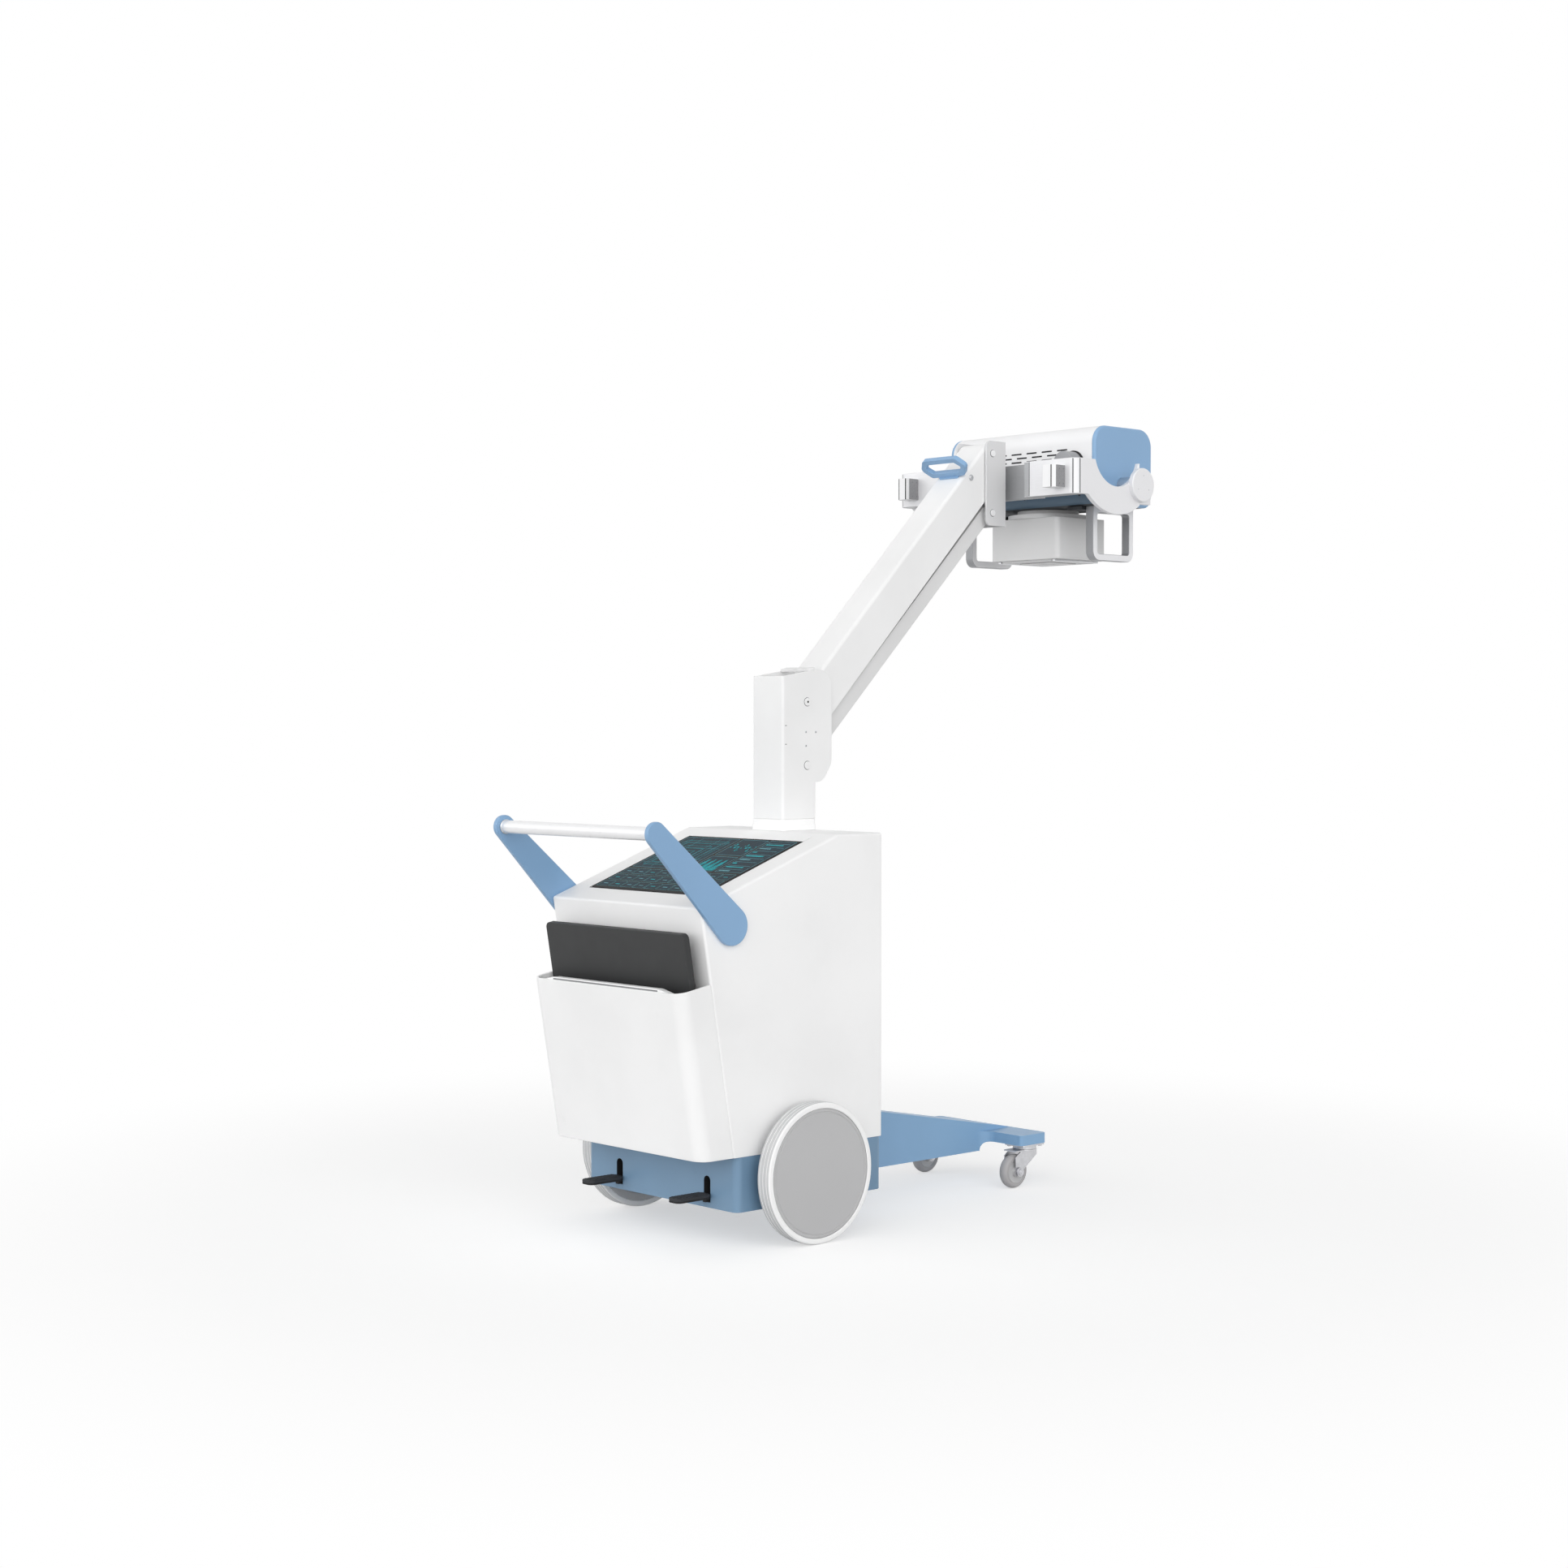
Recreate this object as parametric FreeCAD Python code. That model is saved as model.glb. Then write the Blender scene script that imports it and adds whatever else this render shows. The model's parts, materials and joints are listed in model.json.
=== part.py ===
import FreeCAD, Part
import math
import os

# Mobile x-ray machine: a wheeled cabinet with a swivelling column, a parallelogram arm and a tube head.
# +X is the driving direction, +Y the left side, +Z up. The origin lies on the floor under the middle of
# the overall length and width. Lengths are in millimetres and angles in degrees.

Vector = FreeCAD.Vector
AXIS_X = Vector(1, 0, 0)
AXIS_Y = Vector(0, 1, 0)
AXIS_Z = Vector(0, 0, 1)
SIDES = (("left", 1), ("right", -1))

# Clearances shared by several pieces
seat_gap = 0.3          # between pieces that look seated but may move or curve
pin_gap = 0.05          # radial, shaft in its bore
link_gap = 0.4          # radial, the link's end on the tip pin, the linkage's loose pivot

# Rear wheels and axle
wheel_d = 300.0
wheel_w = 38.0
wheel_edge = 5.0
tyre_depth = 13.0
axle_d = 25.0
axle_end = 12.0         # material left between the axle's end and the wheel's outer face
wheel_gap = 26.0        # base side to the wheel's inner face
hub_d = 64.0

# Base under the cabinet
base_bottom = 80.0
base_rear = 182.0       # behind the axle
base_inset = 1.0        # each side, under the cabinet
base_corner = 16.0
slot_w = 21.0
slot_h = 36.0
slot_depth = 40.0
pedal_y = 145.0
pedal_offset = -8.0     # middle of the two pedals, towards the right side
pedal_top = 111.0
pedal_reach = 95.0      # pad's far end behind the base
pedal_near = 2.0        # and its near end
pedal_w = 38.0
pedal_corner = 12.0
pedal_pad = 7.0
pedal_plate = 3.0
lever_w = 10.0
lever_h = 9.0
lever_overlap = 6.0     # lever's end under the plate

# Cabinet
cabinet_bottom = 196.0
cabinet_top = 859.0
cabinet_front = 243.0   # ahead of the axle
rear_low = 191.5        # rear face behind the axle, at the cabinet's bottom
rear_high = 280.5       # and at the foot of the console slope
slope_foot = 719.0
slope_head = 108.6      # slope's top edge ahead of the axle
cabinet_edge = 6.0

# Console on the slope
screen_len = 330.0      # along the slope
screen_w = 372.0
screen_t = 4.0
screen_up = 20.0        # from the middle of the slope, uphill
screen_recess = 3.0
screen_corner = 8.0

# Detector bin and flat detector
bin_depth = 88.0        # horizontal, from the cabinet's rear face
bin_rim = 546.0         # rim height at the outer wall
bin_wall = 6.0
bin_floor = 16.0
bin_corner = 30.0
detector_size = 460.0
detector_t = 16.0
detector_edge = 12.0
detector_gap = 26.0     # to the cabinet's rear face
detector_side_gap = 12.0 # to the bin's side walls

# Push handle
handle_back = 406.0     # tube centre behind the axle
handle_z = 875.0
handle_tube_d = 28.0
handle_plate = 11.0
handle_low_x = 202.0    # lower centre behind the axle
handle_low_z = 679.4
handle_r_top = 25.0
handle_r_low = 41.0

# Front leg
leg_half = 59.0
leg_slope = 10.5        # degrees, top face falling forward
bar_front = 868.0       # cross bar's front face ahead of the axle
bar_depth = 88.0
bar_half = 174.0
bar_corner = 9.0
bar_top = 126.0
bar_bottom = 102.0
leg_arch_r = 22.0
leg_flare_r = 32.0

# Casters
caster_d = 80.0
caster_w = 26.0
caster_edge = 8.0
caster_trail = 40.0
caster_y = 144.0
caster_cheek = 3.0
caster_cheek_gap = 3.0
caster_axle_d = 10.0
caster_bolt_d = 15.0
caster_bolt_h = 5.0
caster_hub_d = 26.0
caster_plate = 4.0
caster_plate_len = 74.0
caster_plate_w = 62.0
caster_race_d = 56.0    # bearing cup under the plate
caster_race_h = 8.0
caster_crown = 3.0
caster_stem_d = 16.0
caster_foot_half = 11.0 # cheek's foot around the wheel's axle

# Column
column_x = 180.3        # ahead of the axle
column_size = 100.0
column_wall = 4.0
column_edge = 7.0
collar_h = 25.0
collar_over = 2.5       # lower step, each side
collar_step = 1.2       # upper step
spindle_d = 80.0
spindle_len = 60.0
post_top = 966.0
head_top = 1219.0
head_rear_top = 1201.0
head_knee = 88.0        # ahead of the rear face, where the top gets flatter
head_knee_top = 1214.5
head_front = 100.3      # head plates' front edge ahead of the column's centre
head_top_r = 38.0       # rounding of the plates' upper front corner
head_chin = 42.0        # height of the slanted edge under the plates' front
head_chin_run = 28.0
head_chin_r = 30.0
upper_pivot_x = 24.4    # ahead of the column's centre
upper_pivot_z = 1144.4
pivot_drop = 141.2      # lower pivot under the upper one
pin_d = 14.0
pin_head_d = 18.0       # column
tip_head_d = 15.0       # end bracket
pin_head_h = 2.5

# Parallelogram arm
arm_len = 847.0
arm_rise = 44.45         # degrees at rest
arm_half = 43.0
arm_wall = 4.5
arm_edge = 8.0
arm_above = 16.0        # top face over the pivot line, at the column
arm_below = 77.0        # side edge under the pivot line, at the column
arm_drop = 8.0          # pivot line's fall towards the lower edge, at the tip
arm_tail = 25.0         # beyond the lower pivot
arm_tail_cut = 30.0
arm_nose_cut = 12.0     # side plates' front edge, cut upright, behind the pivot
link_half_w = 32.0
link_half_h = 18.0

# Grab ring across the arm
ring_back = 105.0       # behind the arm's end
ring_foot = 4.0         # pad between the ring and the arm
ring_half = 72.0
ring_tall = 52.0
ring_taper = 20.0       # each end comes in towards the top and the foot
ring_bar = 12.0
ring_depth = 12.0
ring_foot_half = 30.0
ring_foot_depth = 20.0

# End bracket and roll bearing
bracket_plate = 5.5
bracket_back = 21.0     # plates' rear edge behind the pivots
bracket_front = 46.0    # web's front face ahead of the pivots
bracket_proud = 1.0     # each side, wider than the column
bracket_over = 30.0     # beyond the upper and the lower pivot
bracket_corner = 14.0
bracket_web = 5.0
bearing_d = 62.0
bearing_len = 25.0
journal_d = 40.0
keeper_d = 52.0
keeper_t = 4.0

# Fork that carries the tube head
fork_rear = 25.5        # wings' rear face ahead of the upper arm pivot
fork_wall = 40.0        # wings' thickness
fork_gap = 41.0         # tube's end to the side plates
fork_low = 36.6         # wings' bottom under the roll axis
fork_high = 46.5        # wings' top over the roll axis
fork_corner = 22.0
fork_plate = 12.0       # side plates
recess_half = 129.0     # the middle is set forward, clear of the turning end bracket
recess_floor = 14.0
notch_r = 82.0          # crescent's inner radius
crescent_r = 148.0      # and its outer radius
notch_back = 82.0       # crescent's centre behind the tilt axis
notch_over = 74.0       # and over it
horn_ahead = 41.0       # plate's front edge ahead of the tilt axis
horn_low = 45.0         # horn's bottom under the tilt axis
horn_high = 24.0
block_y = 237.8
block_w = 35.0
block_h = 52.0
block_lift = 4.0        # block's middle above the roll axis
block_out = 40.0
block_edge = 2.0
block_bevel = 8.0        # outer rear corner
knob_d = 80.0
knob_t = 12.0
knob_edge = 2.5
trunnion_d = 44.0
tilt_pin_d = 20.0

# Tube head and its loop handles
tilt_ahead = 257.6      # tilt axis ahead of the upper arm pivot
tilt_under = 4.6        # tilt axis under the roll axis
tube_back = 101.0       # housing's rear face behind the tilt axis
tube_ahead = 110.0      # and its front face ahead of it
tube_over = 142.0       # housing's top over the tilt axis
tube_under = 47.0       # housing's bottom under the tilt axis
tube_split = 10.0       # cover's lower edge under the tilt axis
tube_shoulder = 42.0
tube_keel = 26.0
tube_half = 235.0
cap_len = 10.0
cap_edge = 6.0
boss_y = 168.0
boss_over = 51.0
boss_d = 60.0
boss_len = 40.0
loop_inset = 27.0       # loop handles' outer face from the tube's end
loop_w = 24.0
loop_half = 74.5
loop_drop = 177.0       # loop's bottom under the tilt axis
loop_bar = 16.0
loop_corner = 22.0
loop_inner_corner = 8.0

# Collimator
collimator_len = 180.0
collimator_w = 218.0
collimator_top = 68.0   # under the tilt axis
collimator_bottom = 169.0
collimator_corner = 12.0
turntable_d = 196.0
turntable_h = 10.0
neck_d = 150.0
spigot_d = 80.0
spigot_len = 20.0
port_size = 160.0       # raised plate round the beam's exit
port_h = 5.0
rail_w = 8.0
rail_h = 5.0
rail_gap = 4.0          # to the raised plate

# Stations worked out from the sizes above
rise = math.radians(arm_rise)
arm_dx = arm_len * math.cos(rise)
arm_dz = arm_len * math.sin(rise)
rear_reach = handle_back + handle_r_top
front_reach = column_x + upper_pivot_x + arm_dx + tilt_ahead + tube_ahead
axle_x = (rear_reach - front_reach) / 2
axle_z = wheel_d / 2
cabinet_w = detector_size + 2 * (detector_side_gap + bin_wall)
cabinet_half = cabinet_w / 2
base_half = cabinet_half - base_inset
wheel_y = base_half + wheel_gap + wheel_w / 2
column_at = axle_x + column_x
pivot_x = column_at + upper_pivot_x
lower_pivot_z = upper_pivot_z - pivot_drop
tip_x = pivot_x + arm_dx
tip_z = upper_pivot_z + arm_dz
roll_z = tip_z - pivot_drop / 2
wing_x = tip_x + fork_rear
fork_half = tube_half + fork_gap + fork_plate
loop_face = tube_half - loop_inset
tilt_x = tip_x + tilt_ahead
tilt_z = roll_z - tilt_under
lean = (rear_high - rear_low) / (slope_foot - cabinet_bottom)
rear_x = axle_x - rear_low
slope_x = axle_x - rear_high
slope_top_x = axle_x + slope_head
front_x = axle_x + cabinet_front


def box(x0, x1, y0, y1, z0, z1):
    """Box between two corners."""
    return Part.makeBox(x1 - x0, y1 - y0, z1 - z0, Vector(x0, y0, z0))


def rod(start, axis, radius, length):
    """Cylinder from a start point along an axis."""
    return Part.makeCylinder(radius, length, start, axis)


def prism_y(outline, y0, y1):
    """Outline of (x, z) points, extruded across the machine."""
    points = [Vector(x, y0, z) for x, z in outline]
    return Part.Face(Part.makePolygon(points + points[:1])).extrude(Vector(0, y1 - y0, 0))


def prism_z(outline, z0, z1):
    """Outline of (x, y) points, extruded upward."""
    points = [Vector(x, y, z0) for x, y in outline]
    return Part.Face(Part.makePolygon(points + points[:1])).extrude(Vector(0, 0, z1 - z0))


def edges_along(shape, axis, keep=lambda middle: True):
    """Straight edges parallel to an axis whose middle point is kept by the test."""
    found = []
    for edge in shape.Edges:
        if edge.Curve.TypeId != "Part::GeomLine":
            continue
        direction = edge.tangentAt(edge.FirstParameter)
        if abs(abs(direction.dot(axis)) - 1) < 1e-6 and keep(edge.CenterOfMass):
            found.append(edge)
    return found


def rounded(shape, radius, axis, keep=lambda middle: True):
    """Shape with the edges along an axis rounded."""
    return shape.makeFillet(radius, edges_along(shape, axis, keep))


def mirrored(shape, side):
    """Left-hand shape for side 1, and its mirror image for side -1."""
    return shape if side > 0 else shape.mirror(Vector(0, 0, 0), AXIS_Y)


def stadium_y(x0, z0, r0, x1, z1, r1, y0, y1):
    """Flat bar across Y with two round ends joined by their outer tangents."""
    length = math.hypot(x1 - x0, z1 - z0)
    along = math.atan2(z1 - z0, x1 - x0)
    turn = math.acos((r0 - r1) / length)
    corners = []
    for angle in (along + turn, along - turn):
        corners.append([(x0 + r0 * math.cos(angle), z0 + r0 * math.sin(angle)),
                        (x1 + r1 * math.cos(angle), z1 + r1 * math.sin(angle))])
    web = prism_y([corners[0][0], corners[0][1], corners[1][1], corners[1][0]], y0, y1)
    ends = [rod(Vector(x, y0, z), AXIS_Y, r, y1 - y0) for x, z, r in ((x0, z0, r0), (x1, z1, r1))]
    return web.fuse(ends).removeSplitter()


def rear_face_x(z):
    """Station of the cabinet's leaning rear face at a height."""
    return rear_x - lean * (z - cabinet_bottom)


def rear_wheels(parts):
    rim_r = wheel_d / 2 - tyre_depth
    for name, side in SIDES:
        inner = wheel_y - wheel_w / 2
        tyre = rod(Vector(axle_x, inner, axle_z), AXIS_Y, wheel_d / 2, wheel_w)
        tyre = tyre.makeFillet(wheel_edge, [e for e in tyre.Edges if e.Curve.TypeId == "Part::GeomCircle"])
        tyre = tyre.cut(rod(Vector(axle_x, inner, axle_z), AXIS_Y, rim_r, wheel_w))
        disc = rod(Vector(axle_x, inner, axle_z), AXIS_Y, rim_r, wheel_w)
        hub_len = wheel_gap - seat_gap
        disc = disc.fuse(rod(Vector(axle_x, inner - hub_len, axle_z), AXIS_Y, hub_d / 2, hub_len))
        bore_len = hub_len + wheel_w - axle_end + seat_gap
        bore = rod(Vector(axle_x, inner - hub_len, axle_z), AXIS_Y, axle_d / 2 + pin_gap, bore_len)
        parts[f"tyre_{name}"] = mirrored(tyre, side)
        parts[f"wheel_disc_{name}"] = mirrored(disc.cut(bore), side)
    axle_half = wheel_y + wheel_w / 2 - axle_end
    parts["rear_axle"] = rod(Vector(axle_x, -axle_half, axle_z), AXIS_Y, axle_d / 2, 2 * axle_half)


def base(parts):
    x0 = axle_x - base_rear
    body = box(x0, front_x, -base_half, base_half, base_bottom, cabinet_bottom)
    body = rounded(body, base_corner, AXIS_Z)
    body = body.cut(rod(Vector(axle_x, -base_half, axle_z), AXIS_Y, axle_d / 2 + pin_gap, 2 * base_half))
    top = pedal_top + slot_h - slot_w / 2
    for _, side in SIDES:
        y = side * pedal_y + pedal_offset
        slot = box(x0, x0 + slot_depth, y - slot_w / 2, y + slot_w / 2, base_bottom, top)
        slot = slot.fuse(rod(Vector(x0, y, top), AXIS_X, slot_w / 2, slot_depth))
        body = body.cut(slot)
    parts["base_frame"] = body


def pedals(parts):
    x0 = axle_x - base_rear
    plate_top = pedal_top - pedal_pad
    plate_low = plate_top - pedal_plate
    levers = []
    pads = []
    for _, side in SIDES:
        y = side * pedal_y + pedal_offset
        y0 = y - lever_w / 2
        lever = box(x0 - pedal_near - lever_overlap, x0 + slot_depth, y0, y0 + lever_w,
                    plate_low - lever_h, plate_low)
        y0 = y - pedal_w / 2
        pad = box(x0 - pedal_reach, x0 - pedal_near, y0, y0 + pedal_w, plate_top, pedal_top)
        plate = box(x0 - pedal_reach, x0 - pedal_near, y0, y0 + pedal_w, plate_low, plate_top)
        pads.append(rounded(pad, pedal_corner, AXIS_Z))
        levers.append(lever.fuse(rounded(plate, pedal_corner, AXIS_Z)).removeSplitter())
    parts["pedal_levers"] = Part.makeCompound(levers)
    parts["pedal_pads"] = Part.makeCompound(pads)


def cabinet(parts):
    outline = [(rear_x, cabinet_bottom), (front_x, cabinet_bottom), (front_x, cabinet_top),
               (slope_top_x, cabinet_top), (slope_x, slope_foot)]
    body = prism_y(outline, -cabinet_half, cabinet_half)
    body = rounded(body, cabinet_edge, AXIS_Y, lambda m: m.z > cabinet_bottom + 1)
    body = rounded(body, cabinet_edge, AXIS_Z)
    spindle_bore = rod(Vector(column_at, 0, cabinet_top - spindle_len - seat_gap), AXIS_Z,
                       spindle_d / 2 + pin_gap, spindle_len + seat_gap)
    parts["cabinet_shell"] = body.cut(spindle_bore)


def console(parts):
    run = slope_top_x - slope_x
    climb = cabinet_top - slope_foot
    slope = math.atan2(climb, run)
    middle = math.hypot(run, climb) / 2 + screen_up
    frame = FreeCAD.Placement(Vector(slope_x, 0, slope_foot), FreeCAD.Rotation(AXIS_Y, -math.degrees(slope)))
    # spare on each side, corner radius
    panes = []
    for spare in (0, pin_gap):
        pane = box(middle - screen_len / 2 - spare, middle + screen_len / 2 + spare,
                   -screen_w / 2 - spare, screen_w / 2 + spare, 0, screen_t)
        pane = rounded(pane, screen_corner, AXIS_Z)
        pane.translate(Vector(0, 0, -screen_recess))
        panes.append(pane.transformGeometry(frame.toMatrix()))
    parts["touch_screen"] = panes[0]
    parts["cabinet_shell"] = parts["cabinet_shell"].cut(panes[1])


def detector_bin(parts):
    top_drop = bin_depth * lean
    outline = [(rear_x - bin_depth, cabinet_bottom), (rear_x, cabinet_bottom),
               (rear_face_x(bin_rim + top_drop), bin_rim + top_drop),
               (rear_face_x(bin_rim) - bin_depth, bin_rim)]
    outer = prism_y(outline, -cabinet_half, cabinet_half)
    outer = outer.makeFillet(bin_corner, [e for e in outer.Edges if is_bin_corner(e, bin_depth)])
    low = cabinet_bottom + bin_floor
    depth = bin_depth - bin_wall
    high = bin_rim + 2 * top_drop
    hollow = prism_y([(rear_face_x(low) - depth, low), (rear_face_x(low), low),
                      (rear_face_x(high), high), (rear_face_x(high) - depth, high)],
                     -cabinet_half + bin_wall, cabinet_half - bin_wall)
    hollow = hollow.makeFillet(bin_corner - bin_wall, [e for e in hollow.Edges if is_bin_corner(e, depth)])
    parts["detector_bin"] = outer.cut(hollow)


def is_bin_corner(edge, depth):
    """Leaning edge at the bin's outer wall."""
    middle = edge.CenterOfMass
    tall = edge.BoundBox.ZLength > (bin_rim - cabinet_bottom) / 2
    return tall and middle.x < rear_face_x(middle.z) - depth + 2


def detector(parts):
    angle = math.degrees(math.atan(lean))
    low = cabinet_bottom + bin_floor + seat_gap
    panel = box(-detector_t, 0, -detector_size / 2, detector_size / 2, 0, detector_size)
    panel = rounded(panel, detector_edge, AXIS_X)
    panel.rotate(Vector(0, 0, 0), AXIS_Y, -angle)
    lift = low - panel.BoundBox.ZMin
    panel.translate(Vector(rear_face_x(low) - detector_gap, 0, lift))
    parts["detector"] = panel


def handle(parts):
    top = (axle_x - handle_back, handle_z)
    low = (axle_x - handle_low_x, handle_low_z)
    for name, side in SIDES:
        bar = stadium_y(*top, handle_r_top, *low, handle_r_low, cabinet_half, cabinet_half + handle_plate)
        parts[f"handle_arm_{name}"] = mirrored(bar, side)
    parts["handle_tube"] = rod(Vector(top[0], -cabinet_half, top[1]), AXIS_Y,
                               handle_tube_d / 2, cabinet_w)


def front_leg(parts):
    """Leg with a falling top face that runs out over a level cross bar."""
    bar_x1 = axle_x + bar_front
    bar_x0 = bar_x1 - bar_depth
    top_rear = bar_top + math.tan(math.radians(leg_slope)) * (bar_x1 - front_x)
    arch = rod(Vector(bar_x0, -bar_half, bar_bottom - leg_arch_r), AXIS_Y, leg_arch_r, 2 * bar_half)
    under_bar = box(bar_x0, bar_x1, -bar_half, bar_half, bar_bottom - leg_arch_r, bar_bottom)
    plan = [(front_x, -leg_half), (bar_x0, -leg_half), (bar_x0, -bar_half), (bar_x1, -bar_half),
            (bar_x1, bar_half), (bar_x0, bar_half), (bar_x0, leg_half), (front_x, leg_half)]
    level = prism_z(plan, base_bottom, bar_top)
    level = rounded(level, leg_flare_r, AXIS_Z,
                    lambda m: abs(m.x - bar_x0) < 1 and abs(abs(m.y) - leg_half) < 1)
    level = rounded(level, bar_corner, AXIS_Z, lambda m: abs(abs(m.y) - bar_half) < 1)
    wedge = prism_y([(front_x, base_bottom), (bar_x1, base_bottom), (bar_x1, bar_top), (front_x, top_rear)],
                    -leg_half, leg_half)
    parts["front_leg"] = level.fuse(wedge).cut(arch).cut(under_bar).removeSplitter()


def casters(parts):
    swivel_x = axle_x + bar_front - bar_depth / 2
    plates = []
    for name, side in SIDES:
        y = side * caster_y
        plates.append(caster_mounting(swivel_x, y))
        parts[f"caster_fork_{name}"] = caster_fork(swivel_x, y)
        parts[f"caster_wheel_{name}"] = caster_wheel(swivel_x - caster_trail, y)
    parts["caster_plates"] = Part.makeCompound(plates)


def caster_mounting(x, y):
    """Plate under the cross bar with its bearing cup, bored for the stem."""
    low = bar_bottom - caster_plate
    half_len = caster_plate_len / 2
    half_w = caster_plate_w / 2
    plate = box(x - half_len, x + half_len, y - half_w, y + half_w, low, bar_bottom)
    plate = rounded(plate, caster_plate, AXIS_Z)
    cup = rod(Vector(x, y, low - caster_race_h), AXIS_Z, caster_race_d / 2, caster_race_h)
    bore = rod(Vector(x, y, low - caster_race_h), AXIS_Z, caster_stem_d / 2 + pin_gap,
               caster_race_h + caster_plate)
    return plate.fuse(cup).cut(bore).removeSplitter()


def caster_fork(x, y):
    """Crown, two cheeks, stem and wheel bolt."""
    wheel_x = x - caster_trail
    axle = caster_d / 2
    crown_top = bar_bottom - caster_plate - caster_race_h - seat_gap
    crown_low = crown_top - caster_crown
    inner = caster_w / 2 + caster_cheek_gap
    outer = inner + caster_cheek
    foot = caster_foot_half
    shape = rod(Vector(x, y, crown_low), AXIS_Z, caster_race_d / 2, caster_crown)
    shape = shape.fuse(box(wheel_x - foot, x, y - outer, y + outer, crown_low, crown_top))
    front = x + caster_race_d * 0.4
    for y0 in (y - outer, y + inner):
        outline = [(wheel_x - foot, axle), (wheel_x + foot, axle), (front, crown_low - foot),
                   (front, crown_top), (wheel_x + foot, crown_top), (wheel_x - foot, crown_low - foot)]
        cheek = prism_y(outline, y0, y0 + caster_cheek)
        shape = shape.fuse([cheek, rod(Vector(wheel_x, y0, axle), AXIS_Y, foot, caster_cheek)])
    stem = rod(Vector(x, y, crown_top), AXIS_Z, caster_stem_d / 2, caster_race_h + caster_plate)
    bolt = rod(Vector(wheel_x, y - outer, axle), AXIS_Y, caster_axle_d / 2, 2 * outer)
    shape = shape.fuse([stem, bolt])
    for y0 in (y - outer - caster_bolt_h, y + outer):
        shape = shape.fuse(rod(Vector(wheel_x, y0, axle), AXIS_Y, caster_bolt_d / 2, caster_bolt_h))
    return shape.removeSplitter()


def caster_wheel(x, y):
    """Wheel with its hub, bored for the bolt."""
    axle = caster_d / 2
    hub_half = caster_w / 2 + caster_cheek_gap - seat_gap
    tread = rod(Vector(x, y - caster_w / 2, axle), AXIS_Y, axle, caster_w)
    tread = tread.makeFillet(caster_edge, [e for e in tread.Edges if e.Curve.TypeId == "Part::GeomCircle"])
    hub = rod(Vector(x, y - hub_half, axle), AXIS_Y, caster_hub_d / 2, 2 * hub_half)
    bore = rod(Vector(x, y - hub_half, axle), AXIS_Y, caster_axle_d / 2 + pin_gap, 2 * hub_half)
    return tread.fuse(hub).cut(bore)


def column(parts):
    half = column_size / 2
    foot = cabinet_top + seat_gap
    # size over the post on each side, height
    spindle_low = cabinet_top - spindle_len
    collar = rod(Vector(column_at, 0, spindle_low), AXIS_Z, spindle_d / 2, spindle_len + seat_gap)
    for over, height in ((collar_over, collar_h / 2), (collar_step, collar_h)):
        reach = half + over
        step = box(column_at - reach, column_at + reach, -reach, reach, foot, foot + height)
        collar = collar.fuse(rounded(step, column_edge + over, AXIS_Z))
    parts["column_collar"] = collar.removeSplitter()
    parts["column_post"] = column_post(foot + collar_h)


def column_post(foot):
    """Square post that opens into two side plates round the arm's pivots."""
    half = column_size / 2
    rear = column_at - half
    front = column_at + head_front
    post = box(rear, rear + column_size, -half, half, foot, post_top)
    outline = [(rear, post_top), (front - head_chin_run, post_top), (front, post_top + head_chin),
               (front, head_top), (rear + head_knee, head_knee_top), (rear, head_rear_top)]
    head = prism_y(outline, -half, half)
    head = rounded(head, head_top_r, AXIS_Y, lambda m: m.x > front - 1 and m.z > head_top - 1)
    chin = post_top + head_chin + 1
    head = rounded(head, head_chin_r, AXIS_Y, lambda m: m.x > rear + column_size - 1 and m.z < chin)
    shape = post.fuse(head).removeSplitter()
    shape = rounded(shape, column_edge, AXIS_Z, lambda m: m.x < rear + 1)
    inner = half - column_wall
    opening = box(rear + column_wall, front + column_size, -inner, inner, post_top, head_top + column_size)
    shape = shape.cut(opening)
    for z in (upper_pivot_z, lower_pivot_z):
        shape = shape.cut(rod(Vector(pivot_x, -half, z), AXIS_Y, pin_d / 2 + pin_gap, column_size))
    return shape


def along(u, w):
    """Point (x, z) at u along and w above the arm's upper pivot line at rest."""
    return (pivot_x + u * math.cos(rise) - w * math.sin(rise),
            upper_pivot_z + u * math.sin(rise) + w * math.cos(rise))


def arm(parts):
    """Channel open below, its top face and lower edges at a small angle to the pivot line."""
    inner = arm_half - arm_wall
    fall = arm_drop / arm_len
    above_tip = arm_above + arm_drop
    below_tip = arm_below - arm_drop
    cut = arm_len - below_tip * math.tan(rise) - arm_nose_cut / math.cos(rise)
    tail_above = arm_above - arm_tail * fall
    outline = [along(-arm_tail, tail_above), along(arm_len, above_tip), along(arm_len, -above_tip),
               along(cut, -below_tip), along(arm_tail_cut - arm_tail, -arm_below),
               along(-arm_tail, arm_tail_cut - arm_below)]
    body = prism_y(outline, -arm_half, arm_half)
    body = body.makeFillet(arm_edge, [e for e in body.Edges if e.Length > arm_len])
    nose = rod(Vector(tip_x, -arm_half, tip_z), AXIS_Y, above_tip, 2 * arm_half)
    nose = nose.makeFillet(arm_edge, [e for e in nose.Edges if e.Curve.TypeId == "Part::GeomCircle"])
    body = body.fuse(nose)
    beyond = 2 * arm_tail
    hollow = prism_y([along(-beyond, arm_above - beyond * fall - arm_wall),
                      along(arm_len + beyond, above_tip + beyond * fall - arm_wall),
                      along(arm_len + beyond, -2 * arm_below), along(-beyond, -2 * arm_below)], -inner, inner)
    body = body.cut(hollow)
    for x, z in ((pivot_x, upper_pivot_z), (tip_x, tip_z)):
        body = body.cut(rod(Vector(x, -arm_half, z), AXIS_Y, pin_d / 2 + pin_gap, 2 * arm_half))
    parts["arm_beam"] = body


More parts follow.
